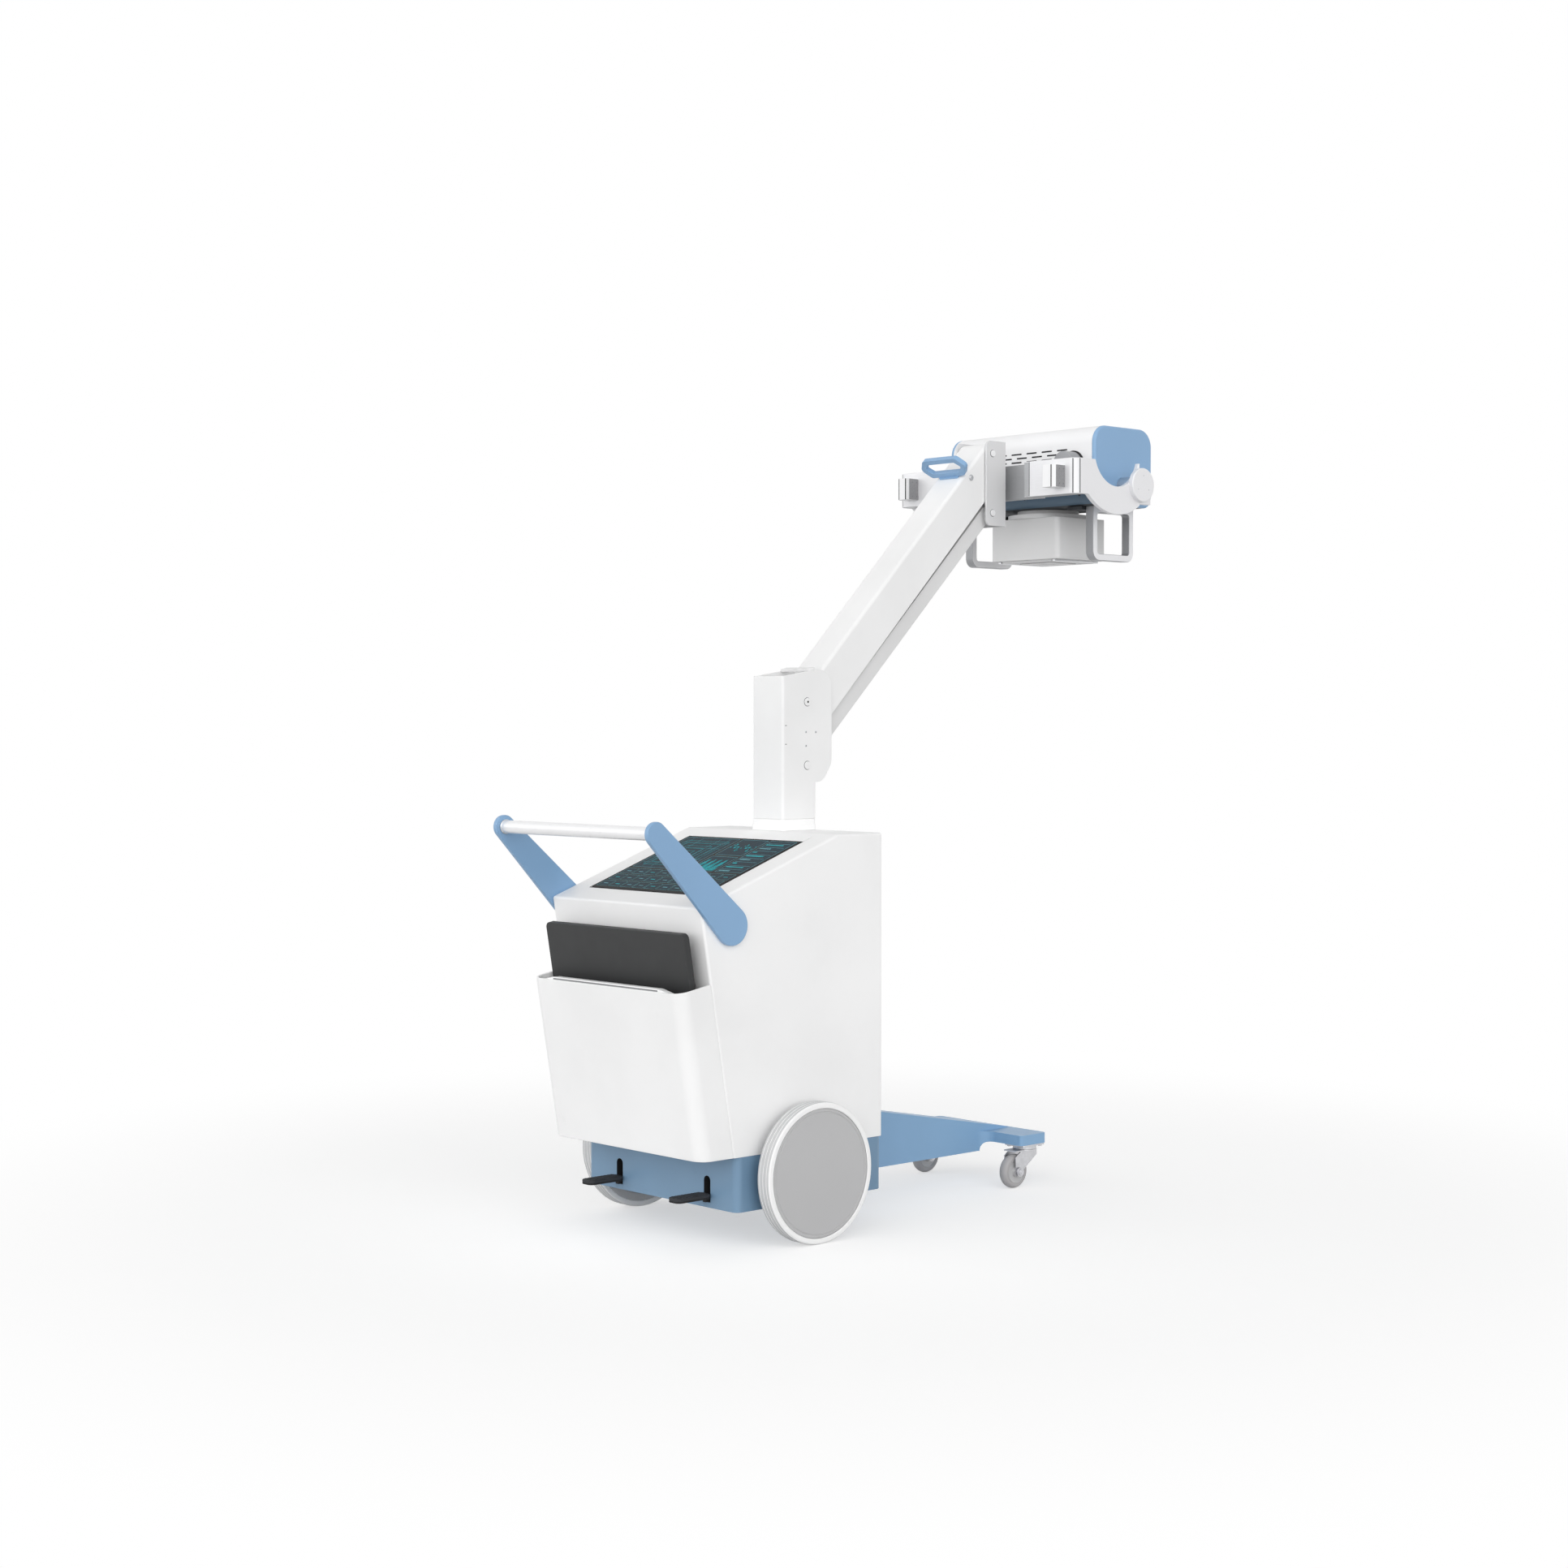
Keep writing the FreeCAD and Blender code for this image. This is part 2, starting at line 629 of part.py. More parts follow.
def lower_link(parts):
    tip_low = tip_z - pivot_drop
    link = stadium_y(pivot_x, lower_pivot_z, link_half_h, tip_x, tip_low, link_half_h,
                     -link_half_w, link_half_w)
    for x, z, spare in ((pivot_x, lower_pivot_z, pin_gap), (tip_x, tip_low, link_gap)):
        link = link.cut(rod(Vector(x, -link_half_w, z), AXIS_Y, pin_d / 2 + spare, 2 * link_half_w))
    parts["lower_link"] = link


def pivot_pins(parts):
    half = column_size / 2
    # node, pivot x, upper pivot z, half length, head diameter
    table = (("column_pins", pivot_x, upper_pivot_z, half, pin_head_d),
             ("tip_pins", tip_x, tip_z, half + bracket_proud, tip_head_d))
    for name, x, upper_z, reach, head_d in table:
        pins = []
        for z in (upper_z, upper_z - pivot_drop):
            pin = rod(Vector(x, -reach, z), AXIS_Y, pin_d / 2, 2 * reach)
            for _, side in SIDES:
                pin = pin.fuse(rod(Vector(x, side * reach, z), AXIS_Y * side, head_d / 2, pin_head_h))
            pins.append(pin.removeSplitter())
        parts[name] = Part.makeCompound(pins)


def grab_ring(parts):
    """Six-sided ring on a low foot that stands across the arm's top face, square to it."""
    shoulder = ring_half - ring_taper
    inset = ring_bar * 0.8

    def outline(half, narrow, low, high):
        middle = (low + high) / 2
        return [(-narrow, low), (narrow, low), (half, middle),
                (narrow, high), (-narrow, high), (-half, middle)]

    def slab(points, spare):
        corners = [Vector(-ring_depth / 2 - spare, y, z) for y, z in points]
        face = Part.Face(Part.makePolygon(corners + corners[:1]))
        return face.extrude(Vector(ring_depth + 2 * spare, 0, 0))

    top = ring_foot + ring_tall
    outer = rounded(slab(outline(ring_half, shoulder, ring_foot, top), 0), ring_bar, AXIS_X)
    hole = outline(ring_half - ring_bar * 1.3, shoulder - inset, ring_foot + ring_bar, top - ring_bar)
    ring = outer.cut(rounded(slab(hole, 1), ring_bar / 3, AXIS_X))
    foot = box(-ring_foot_depth / 2, ring_foot_depth / 2, -ring_foot_half, ring_foot_half, 0, ring_foot)
    ring = ring.fuse(rounded(foot, ring_foot, AXIS_Z)).removeSplitter()
    x, z = along(arm_len - ring_back, arm_above + arm_drop * (1 - ring_back / arm_len))
    taper = math.degrees(math.atan(arm_drop / arm_len))
    ring.rotate(Vector(0, 0, 0), AXIS_Y, -arm_rise - taper)
    ring.translate(Vector(x, 0, z))
    parts["grab_ring"] = ring


def end_bracket(parts):
    half = column_size / 2 + bracket_proud
    x0 = tip_x - bracket_back
    x1 = tip_x + bracket_front
    z0 = tip_z - pivot_drop - bracket_over
    z1 = tip_z + bracket_over
    shape = rounded(box(x0, x1, -half, half, z0, z1), bracket_corner, AXIS_Y, lambda m: m.x < x0 + 1)
    shape = shape.cut(box(x0, x1 - bracket_web, -half + bracket_plate, half - bracket_plate, z0, z1))
    for z in (tip_z, tip_z - pivot_drop):
        shape = shape.cut(rod(Vector(tip_x, -half, z), AXIS_Y, pin_d / 2 + pin_gap, 2 * half))
    bore = rod(Vector(x1 - bracket_web, 0, roll_z), AXIS_X, journal_d / 2 + pin_gap, bracket_web)
    parts["end_bracket"] = shape.cut(bore)


def roll_bearing(parts):
    web_x = tip_x + bracket_front - bracket_web
    front = tip_x + bracket_front
    drum = rod(Vector(front + seat_gap, 0, roll_z), AXIS_X, bearing_d / 2, bearing_len - seat_gap)
    journal = rod(Vector(web_x - seat_gap, 0, roll_z), AXIS_X, journal_d / 2, bracket_web + 2 * seat_gap)
    keeper = rod(Vector(web_x - seat_gap - keeper_t, 0, roll_z), AXIS_X, keeper_d / 2, keeper_t)
    parts["roll_bearing"] = drum.fuse([journal, keeper]).removeSplitter()


def fork(parts):
    wing_front = wing_x + fork_wall
    floor_x = tip_x + bracket_front + bearing_len
    floor_front = floor_x + recess_floor
    z0 = roll_z - fork_low
    z1 = roll_z + fork_high
    beam = box(wing_x, wing_front, -fork_half, fork_half, z0, z1)
    beam = rounded(beam, fork_corner, AXIS_Z, lambda m: m.x < wing_x + 1)
    middle = recess_half + recess_floor
    beam = beam.fuse(box(wing_x, floor_front, -middle, middle, z0, z1))
    beam = beam.cut(box(wing_x, floor_x, -recess_half, recess_half, z0, z1))
    for _, side in SIDES:
        beam = beam.fuse(mirrored(fork_side_plate(wing_front, z0, z1), side))
    parts["head_fork"] = beam.removeSplitter()


def fork_side_plate(wing_front, z0, z1):
    """Crescent plate from the wing forward to the tilt axis, left side."""
    y0 = fork_half - fork_plate
    x1 = tilt_x + horn_ahead
    notch_x = tilt_x - notch_back
    notch_z = tilt_z + notch_over
    crescent = rod(Vector(notch_x, y0, notch_z), AXIS_Y, crescent_r, fork_plate)
    crescent = crescent.common(box(wing_front, tilt_x, y0, fork_half, notch_z - crescent_r, z1))
    root = box(wing_front - 1, notch_x, y0, fork_half, z0, z1)
    horn = box(notch_x, x1, y0, fork_half, tilt_z - horn_low, tilt_z + horn_high)
    plate = crescent.fuse([root, horn])
    plate = plate.cut(rod(Vector(notch_x, y0, notch_z), AXIS_Y, notch_r, fork_plate))
    return plate.cut(rod(Vector(tilt_x, y0, tilt_z), AXIS_Y, tilt_pin_d / 2 + pin_gap, fork_plate))


def fork_fittings(parts):
    blocks = []
    knobs = []
    for _, side in SIDES:
        blocks.append(mirrored(release_block(), side))
        knob = rod(Vector(tilt_x, fork_half, tilt_z), AXIS_Y, knob_d / 2, knob_t)
        rim = [e for e in knob.Edges if e.BoundBox.YMin > fork_half + knob_t - 0.1]
        knobs.append(mirrored(knob.makeFillet(knob_edge, rim), side))
    parts["release_blocks"] = Part.makeCompound(blocks)
    parts["lock_knobs"] = Part.makeCompound(knobs)


def release_block():
    """Brake release block on the fork's rear face, left side."""
    rear = wing_x - block_out
    inner = block_y - block_w / 2
    outer = block_y + block_w / 2
    z0 = roll_z + block_lift - block_h / 2
    plan = [(wing_x, inner), (rear, inner), (rear, outer - block_bevel), (rear + block_bevel, outer),
            (wing_x, outer)]
    block = prism_z(plan, z0, z0 + block_h)
    return rounded(block, block_edge, AXIS_Z, lambda m: m.x < rear + 1 and m.y < inner + 1)


def tube_section(y0, y1):
    """Housing section between two stations across the machine."""
    body = box(tilt_x - tube_back, tilt_x + tube_ahead, y0, y1, tilt_z - tube_under, tilt_z + tube_over)
    body = rounded(body, tube_shoulder, AXIS_Y, lambda m: m.z > tilt_z)
    return rounded(body, tube_keel, AXIS_Y, lambda m: m.z < tilt_z)


def tube_head(parts):
    cap_y = tube_half - cap_len
    body = tube_section(-cap_y, cap_y)
    split = tilt_z - tube_split
    upper = box(tilt_x - 2 * tube_back, tilt_x + 2 * tube_back, -cap_y, cap_y, split, tilt_z + 2 * tube_over)
    parts["tube_cover"] = body.common(upper)
    parts["tube_tray"] = body.cut(upper)
    caps = []
    pins = []
    bosses = []
    for _, side in SIDES:
        cap = tube_section(cap_y, tube_half)
        rim = [e for e in cap.Edges if e.BoundBox.YMin > tube_half - 0.1]
        caps.append(mirrored(cap.makeFillet(cap_edge, rim), side))
        reach = fork_half - fork_plate - seat_gap
        pin = rod(Vector(tilt_x, tube_half, tilt_z), AXIS_Y, trunnion_d / 2, reach - tube_half)
        pin = pin.fuse(rod(Vector(tilt_x, reach, tilt_z), AXIS_Y, tilt_pin_d / 2, fork_plate))
        pins.append(mirrored(pin.removeSplitter(), side))
        boss = rod(Vector(tilt_x - tube_back - boss_len, side * boss_y, tilt_z + boss_over), AXIS_X,
                   boss_d / 2, boss_len)
        bosses.append(boss)
    parts["end_caps"] = Part.makeCompound(caps)
    parts["tilt_trunnions"] = Part.makeCompound(pins)
    parts["cable_bosses"] = Part.makeCompound(bosses)


def loop_handles(parts):
    top = tilt_z - tube_under
    low = tilt_z - loop_drop
    y0 = loop_face - loop_w
    for name, side in SIDES:
        loop = box(tilt_x - loop_half, tilt_x + loop_half, y0, loop_face, low, top)
        loop = rounded(loop, loop_corner, AXIS_Y, lambda m: m.z < low + 1)
        hole = box(tilt_x - loop_half + loop_bar, tilt_x + loop_half - loop_bar, y0, loop_face,
                   low + loop_bar, top - loop_bar)
        parts[f"loop_handle_{name}"] = mirrored(loop.cut(rounded(hole, loop_inner_corner, AXIS_Y)), side)


def collimator(parts):
    top = tilt_z - collimator_top
    tray_low = tilt_z - tube_under
    neck_h = tray_low - top - turntable_h - seat_gap
    neck = rod(Vector(tilt_x, 0, top + turntable_h), AXIS_Z, neck_d / 2, neck_h)
    disc = rod(Vector(tilt_x, 0, top), AXIS_Z, turntable_d / 2, turntable_h)
    spigot = rod(Vector(tilt_x, 0, tray_low - seat_gap), AXIS_Z, spigot_d / 2, spigot_len)
    parts["collimator_neck"] = neck.fuse([disc, spigot]).removeSplitter()
    bore = rod(Vector(tilt_x, 0, tray_low), AXIS_Z, spigot_d / 2 + pin_gap, spigot_len)
    parts["tube_tray"] = parts["tube_tray"].cut(bore)
    low = tilt_z - collimator_bottom
    body = box(tilt_x - collimator_len / 2, tilt_x + collimator_len / 2, -collimator_w / 2, collimator_w / 2,
               low, top)
    body = rounded(body, collimator_corner, AXIS_Z)
    port_half = port_size / 2
    port = box(tilt_x - port_half, tilt_x + port_half, -port_half, port_half, low - port_h, low)
    parts["collimator_body"] = body.fuse(port).removeSplitter()
    rails = []
    y0 = port_half + rail_gap
    for _, side in SIDES:
        rail = box(tilt_x - port_half, tilt_x + port_half, y0, y0 + rail_w, low - rail_h, low)
        rails.append(mirrored(rail, side))
    parts["accessory_rails"] = Part.makeCompound(rails)


def main():
    parts = {}
    for build in (rear_wheels, base, pedals, cabinet, console, detector_bin, detector, handle, front_leg,
                  casters, column, arm, lower_link, pivot_pins, grab_ring, end_bracket, roll_bearing, fork,
                  fork_fittings, tube_head, loop_handles, collimator):
        build(parts)
    os.makedirs("parts", exist_ok=True)
    for name, shape in parts.items():
        shape.exportStep(f"parts/{name}.step")
    print(len(parts), "parts; axle", round(axle_x, 2), "pivot", round(pivot_x, 2), "tip", round(tip_x, 2),
          round(tip_z, 2), "roll", round(roll_z, 2), "tilt", round(tilt_x, 2), round(tilt_z, 2))


main()
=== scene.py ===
import json
import logging
import math
from dataclasses import dataclass
from enum import Enum
from typing import Callable, Iterable, Sequence

import bmesh
import bpy
from mathutils import Matrix, Vector


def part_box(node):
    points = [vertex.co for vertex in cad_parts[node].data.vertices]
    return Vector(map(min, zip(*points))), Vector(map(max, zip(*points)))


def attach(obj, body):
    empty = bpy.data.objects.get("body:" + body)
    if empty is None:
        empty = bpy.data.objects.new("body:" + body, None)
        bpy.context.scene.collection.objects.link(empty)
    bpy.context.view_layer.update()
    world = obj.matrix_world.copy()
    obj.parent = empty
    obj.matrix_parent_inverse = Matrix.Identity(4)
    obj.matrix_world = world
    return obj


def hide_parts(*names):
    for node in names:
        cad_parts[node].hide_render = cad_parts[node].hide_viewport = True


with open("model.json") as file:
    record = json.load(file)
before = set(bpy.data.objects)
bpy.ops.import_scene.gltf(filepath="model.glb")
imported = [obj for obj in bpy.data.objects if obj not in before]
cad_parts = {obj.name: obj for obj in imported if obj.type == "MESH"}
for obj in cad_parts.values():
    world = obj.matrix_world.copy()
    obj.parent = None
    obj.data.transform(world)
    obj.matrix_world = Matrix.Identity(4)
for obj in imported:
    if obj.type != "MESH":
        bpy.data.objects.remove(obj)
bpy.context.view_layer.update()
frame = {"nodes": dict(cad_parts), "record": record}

log = logging.getLogger("x_ray_machine")

Colour = tuple[float, float, float]
Point = tuple[float, float, float]
Pair = tuple[float, float]

# Radius, length and rounding of a small round part
Rod = tuple[float, float, float]

# Width, height and rounding of a thin strip
Strip = tuple[float, float, float]

# Lower and upper end uphill, right and left end, on the screen
Panel = tuple[float, float, float, float]

BODY_OF: dict[str, str] = {
    node: body for body, nodes in frame["record"]["behaviour"]["bodies"].items() for node in nodes
}


class Axis(Enum):
    """Directions a shape is built along."""

    X = Vector((1, 0, 0))
    Y = Vector((0, 1, 0))
    Z = Vector((0, 0, 1))


class Side(Enum):
    """Left and right halves of the machine, with the sign of their Y."""

    LEFT = 1
    RIGHT = -1

    @property
    def label(self) -> str:
        """Word that ends the names of this side's pieces."""
        return self.name.lower()

    @property
    def outward(self) -> Vector:
        """Direction from the middle plane to this side."""
        return Axis.Y.value * self.value


class Slot(Enum):
    """Material slots of the part."""

    CABINET = "cabinet_white"
    ARM = "arm_white"
    HOUSING = "housing_white"
    BASE = "base_blue"
    TRIM = "trim_blue"
    FORK = "fork_silver"
    HANDLE = "handle_steel"
    CASTER_STEEL = "fork_steel"
    TYRE = "tyre_white"
    DISC = "disc_grey"
    CASTER = "caster_grey"
    PANEL = "panel_dark"
    PAD = "pad_black"
    SCREEN = "screen_glass"
    COLLIMATOR = "collimator_grey"


# Shader maths


class Value:
    """A number that runs through a material, with its sums written as Python."""

    def __init__(self, nodes: "Nodes", socket: bpy.types.NodeSocket) -> None:
        """Wraps a socket.

        Args:
            nodes: Node tree the socket belongs to.
            socket: Output that carries the number.
        """
        self.nodes = nodes
        self.socket = socket

    def _sum(self, operation: str, first: "Value | float", second: "Value | float") -> "Value":
        """Adds one Math node.

        Args:
            operation: Name of the Math node's operation.
            first: Left term.
            second: Right term.

        Returns:
            The result as a new value.
        """
        node = self.nodes.node("ShaderNodeMath", {"operation": operation}, {0: first, 1: second})
        return Value(self.nodes, node.outputs[0])

    def __add__(self, other: "Value | float") -> "Value":
        """This plus the other."""
        return self._sum("ADD", self, other)

    def __radd__(self, other: float) -> "Value":
        """The other plus this."""
        return self._sum("ADD", other, self)

    def __sub__(self, other: "Value | float") -> "Value":
        """This less the other."""
        return self._sum("SUBTRACT", self, other)

    def __rsub__(self, other: float) -> "Value":
        """The other less this."""
        return self._sum("SUBTRACT", other, self)

    def __mul__(self, other: "Value | float") -> "Value":
        """This times the other."""
        return self._sum("MULTIPLY", self, other)

    def __rmul__(self, other: float) -> "Value":
        """The other times this."""
        return self._sum("MULTIPLY", other, self)

    def __gt__(self, other: "Value | float") -> "Value":
        """1 where this is greater."""
        return self._sum("GREATER_THAN", self, other)

    def between(self, low: float, high: float) -> "Value":
        """Runs from 0 at the low mark to 1 at the high one, and stays within them.

        Args:
            low: Reading that gives 0.
            high: Reading that gives 1.

        Returns:
            The share of the way, as a new value.
        """
        settings = {"clamp": True, "interpolation_type": "SMOOTHSTEP"}
        node = self.nodes.node("ShaderNodeMapRange", settings, {0: self, 1: low, 2: high, 3: 0.0, 4: 1.0})
        return Value(self.nodes, node.outputs[0])


class Nodes:
    """A node tree under construction."""

    def __init__(self, tree: bpy.types.NodeTree) -> None:
        """Takes hold of a tree.

        Args:
            tree: Tree that the nodes go into.
        """
        self.tree = tree

    def node(self, kind: str, settings: dict, inputs: dict) -> bpy.types.Node:
        """Adds a node.

        Args:
            kind: Type of the node.
            settings: Its settings, set first.
            inputs: Values or links for its sockets, by name or number.

        Returns:
            The node.
        """
        node = self.tree.nodes.new(kind)
        for name, setting in settings.items():
            setattr(node, name, setting)
        for key, given in inputs.items():
            self.feed(node.inputs[key], given)
        return node

    def feed(self, socket: bpy.types.NodeSocket, given: object) -> None:
        """Gives a socket its value or link.

        Args:
            socket: Socket to fill.
            given: A value, another socket or a plain number, colour or vector.
        """
        if isinstance(given, Value):
            self.tree.links.new(given.socket, socket)
        elif isinstance(given, bpy.types.NodeSocket):
            self.tree.links.new(given, socket)
        else:
            socket.default_value = given

    def seen(self) -> Value:
        """1 for rays from the camera and for mirrored and transmitted ones."""
        path = self.node("ShaderNodeLightPath", {}, {})
        names = ("Is Camera Ray", "Is Glossy Ray", "Is Transmission Ray")
        camera, mirrored, transmitted = (Value(self, path.outputs[name]) for name in names)
        return (camera + mirrored + transmitted) > 0.5


class Shade(Nodes):
    """A material under construction."""

    def __init__(self, name: str) -> None:
        """Starts a material with one principled shader.

        Args:
            name: Name of the material.
        """
        self.material = bpy.data.materials.new(name)
        self.material.use_nodes = True
        super().__init__(self.material.node_tree)
        self.surface = self.tree.nodes["Principled BSDF"]
        self.output = self.tree.nodes["Material Output"]

    def place(self, scale: Point = (1.0, 1.0, 1.0)) -> bpy.types.NodeSocket:
        """Object coordinates, stretched.

        Args:
            scale: Stretch along each axis.

        Returns:
            The vector socket.
        """
        source = self.node("ShaderNodeTexCoord", {}, {})
        return self.node("ShaderNodeMapping", {"vector_type": "POINT"},
                         {"Vector": source.outputs["Object"], "Scale": scale}).outputs[0]

    def noise(self, scale: float, detail: float = 3.0, where: bpy.types.NodeSocket | None = None) -> Value:
        """Soft random pattern around 0.5.

        Args:
            scale: Features in a metre.
            detail: How many finer layers are added.
            where: Coordinates, if not the plain ones.

        Returns:
            The pattern as a value.
        """
        inputs = {"Vector": where or self.place(), "Scale": scale, "Detail": detail}
        return Value(self, self.node("ShaderNodeTexNoise", {}, inputs).outputs[0])

    def blend(self, share: Value | float, first: object, second: object) -> bpy.types.NodeSocket:
        """Mixes two colours.

        Args:
            share: 0 for the first, 1 for the second.
            first: Colour or socket.
            second: Colour or socket.

        Returns:
            The mixed colour's socket.
        """
        node = self.node("ShaderNodeMix", {"data_type": "RGBA"}, {0: share, 6: first, 7: second})
        return node.outputs[2]

    def relief(self, height: Value, depth: float, strength: float = 1.0) -> None:
        """Feeds a bump pattern into the surface.

        Args:
            height: Pattern.
            depth: Distance that 1 in the pattern stands for, in metres.
            strength: Share of the bump that shows.
        """
        bump = self.node("ShaderNodeBump", {}, {"Height": height, "Distance": depth, "Strength": strength})
        self.feed(self.surface.inputs["Normal"], bump.outputs[0])

    def fix(self, **constants: float) -> None:
        """Sets plain numbers on the shader's own sockets, with spaces for underlines in their names."""
        for name, number in constants.items():
            self.surface.inputs[name.replace("_", " ")].default_value = number


def linear(colour: Colour, gain: float = 1.0) -> tuple[float, float, float, float]:
    """Colour for a shader from one in screen values.

    Args:
        colour: Red, green and blue from 0 to 255.
        gain: Factor on the result.

    Returns:
        Linear red, green, blue and alpha.
    """
    def lift(channel: float) -> float:
        """Linear value of one channel."""
        share = channel / 255
        return share / 12.92 if share <= 0.04045 else ((share + 0.055) / 1.055) ** 2.4

    return tuple(min(1.0, lift(channel) * gain) for channel in colour) + (1.0,)


# Finishes

# Band of a soft pattern in which most of its readings lie
MIDDLE_BAND: Pair = (0.3, 0.7)


@dataclass(frozen=True)
class Finish:
    """What all finishes share: a name, a slot and a colour in screen values."""

    name: str
    slot: Slot
    colour: Colour

    def dress(self, shade: Shade) -> None:
        """Builds the surface.

        Args:
            shade: Material to fill.
        """
        raise NotImplementedError


@dataclass(frozen=True)
class Paint(Finish):
    """Satin paint or moulded plastic with a fine orange peel, slow drift of tone and handling marks.

    A pattern, here and below, is its features in a metre and its detail. A relief of two numbers is the
    coarser pattern's share in it and its strength.
    """

    roughness: float = 0.38
    drift: float = 0.03
    peel: float = 0.00012
    grain: float = 260.0
    coat: float = 0.15
    coat_roughness: float = 0.22
    cloud: Pair = (3.5, 4.0)
    marks: Pair = (22.0, 6.0)
    speck_band: Pair = (0.68, 0.8)
    speck: float = 0.12
    speck_tone: float = 0.8
    wear: float = 0.12
    relief: Pair = (0.5, 0.35)

    def dress(self, shade: Shade) -> None:
        """Builds the surface.

        Args:
            shade: Material to fill.
        """
        cloud = shade.noise(*self.cloud)
        marks = shade.noise(*self.marks)
        skin = shade.noise(self.grain, 2.0)
        tone = shade.blend(cloud.between(*MIDDLE_BAND), linear(self.colour, 1 - self.drift),
                           linear(self.colour, 1 + self.drift))
        speck = marks.between(*self.speck_band) * self.speck
        colour = shade.blend(speck, tone, linear(self.colour, self.speck_tone))
        shade.feed(shade.surface.inputs["Base Color"], colour)
        shade.feed(shade.surface.inputs["Roughness"], self.roughness - self.wear / 2 + marks * self.wear)
        shade.relief(skin + marks * self.relief[0], self.peel, self.relief[1])
        shade.fix(Coat_Weight=self.coat, Coat_Roughness=self.coat_roughness)


@dataclass(frozen=True)
class Metal(Finish):
    """Bare or satin metal with fine lines along one direction."""

    roughness: float = 0.3
    lines: Point = (1.0, 1.0, 1.0)
    metallic: float = 1.0
    contrast: float = 0.06
    scratch: float = 0.00003
    drawn: Pair = (60.0, 4.0)
    cloud: Pair = (9.0, 4.0)
    wear: float = 0.1
    relief: float = 0.5

    def dress(self, shade: Shade) -> None:
        """Builds the surface.

        Args:
            shade: Material to fill.
        """
        drawn = shade.noise(*self.drawn, shade.place(self.lines))
        cloud = shade.noise(*self.cloud)
        tone = shade.blend(drawn.between(*MIDDLE_BAND), linear(self.colour, 1 - self.contrast),
                           linear(self.colour, 1 + self.contrast))
        shade.feed(shade.surface.inputs["Base Color"], tone)
        roughness = self.roughness - self.wear + drawn * self.wear + cloud * self.wear
        shade.feed(shade.surface.inputs["Roughness"], roughness)
        shade.relief(drawn, self.scratch, self.relief)
        shade.fix(Metallic=self.metallic)


@dataclass(frozen=True)
class Rubber(Finish):
    """Dull rubber or soft plastic with a close grain and a dusty bloom."""

    roughness: float = 0.72
    grain: float = 700.0
    bloom: float = 0.1
    bloom_tone: float = 235.0
    dust: Pair = (16.0, 5.0)
    dust_band: Pair = (0.35, 0.75)
    wear: float = 0.16
    pore: float = 0.00025
    relief: Pair = (0.4, 0.45)

    def dress(self, shade: Shade) -> None:
        """Builds the surface.

        Args:
            shade: Material to fill.
        """
        dust = shade.noise(*self.dust)
        pores = shade.noise(self.grain, 3.0)
        pale = tuple(channel + (self.bloom_tone - channel) * self.bloom for channel in self.colour)
        shade.feed(shade.surface.inputs["Base Color"],
                   shade.blend(dust.between(*self.dust_band), linear(self.colour), linear(pale)))
        shade.feed(shade.surface.inputs["Roughness"], self.roughness - self.wear / 2 + dust * self.wear)
        shade.relief(pores + dust * self.relief[0], self.pore, self.relief[1])


@dataclass(frozen=True)
class Glass(Finish):
    """Dark polished pane with faint finger marks."""

    roughness: float = 0.05
    smear: Pair = (18.0, 6.0)
    smear_band: Pair = (0.4, 0.8)
    smear_tone: float = 1.6
    smear_wear: float = 0.09
    wear_band: Pair = (0.45, 0.75)
    wave: Pair = (5.0, 2.0)
    wave_depth: float = 0.0002
    relief: float = 0.15
    shine: float = 0.02

    def dress(self, shade: Shade) -> None:
        """Builds the surface.

        Args:
            shade: Material to fill.
        """
        smear = shade.noise(*self.smear)
        wave = shade.noise(*self.wave)
        tone = shade.blend(smear.between(*self.smear_band), linear(self.colour),
                           linear(self.colour, self.smear_tone))
        shade.feed(shade.surface.inputs["Base Color"], tone)
        roughness = self.roughness + smear.between(*self.wear_band) * self.smear_wear
        shade.feed(shade.surface.inputs["Roughness"], roughness)
        shade.relief(wave, self.wave_depth, self.relief)
        shade.fix(Specular_IOR_Level=self.shine)


@dataclass(frozen=True)
class Glow(Finish):
    """Lit mark of a display, under a fine screen grid."""

    strength: float = 0.8
    uneven: Pair = (40.0, 3.0)
    grid: Pair = (900.0, 1.0)
    lit: Pair = (0.7, 1.15)
    unlit: Pair = (0.12, 0.3)
    roughness: float = 0.2
    wear: float = 0.15
    grid_depth: float = 0.00005
    relief: float = 0.2
    shine: float = 0.02

    def dress(self, shade: Shade) -> None:
        """Builds the surface.

        Args:
            shade: Material to fill.
        """
        uneven = shade.noise(*self.uneven)
        grid = shade.noise(*self.grid)
        dim, bright = (linear(self.colour, gain) for gain in self.lit)
        shade.feed(shade.surface.inputs["Emission Color"],
                   shade.blend(uneven.between(*MIDDLE_BAND), dim, bright))
        dark, pale = (linear(self.colour, gain) for gain in self.unlit)
        shade.feed(shade.surface.inputs["Base Color"], shade.blend(grid, dark, pale))
        shade.feed(shade.surface.inputs["Roughness"], self.roughness + uneven * self.wear)
        shade.relief(grid, self.grid_depth, self.relief)
        shade.fix(Emission_Strength=self.strength, Specular_IOR_Level=self.shine)


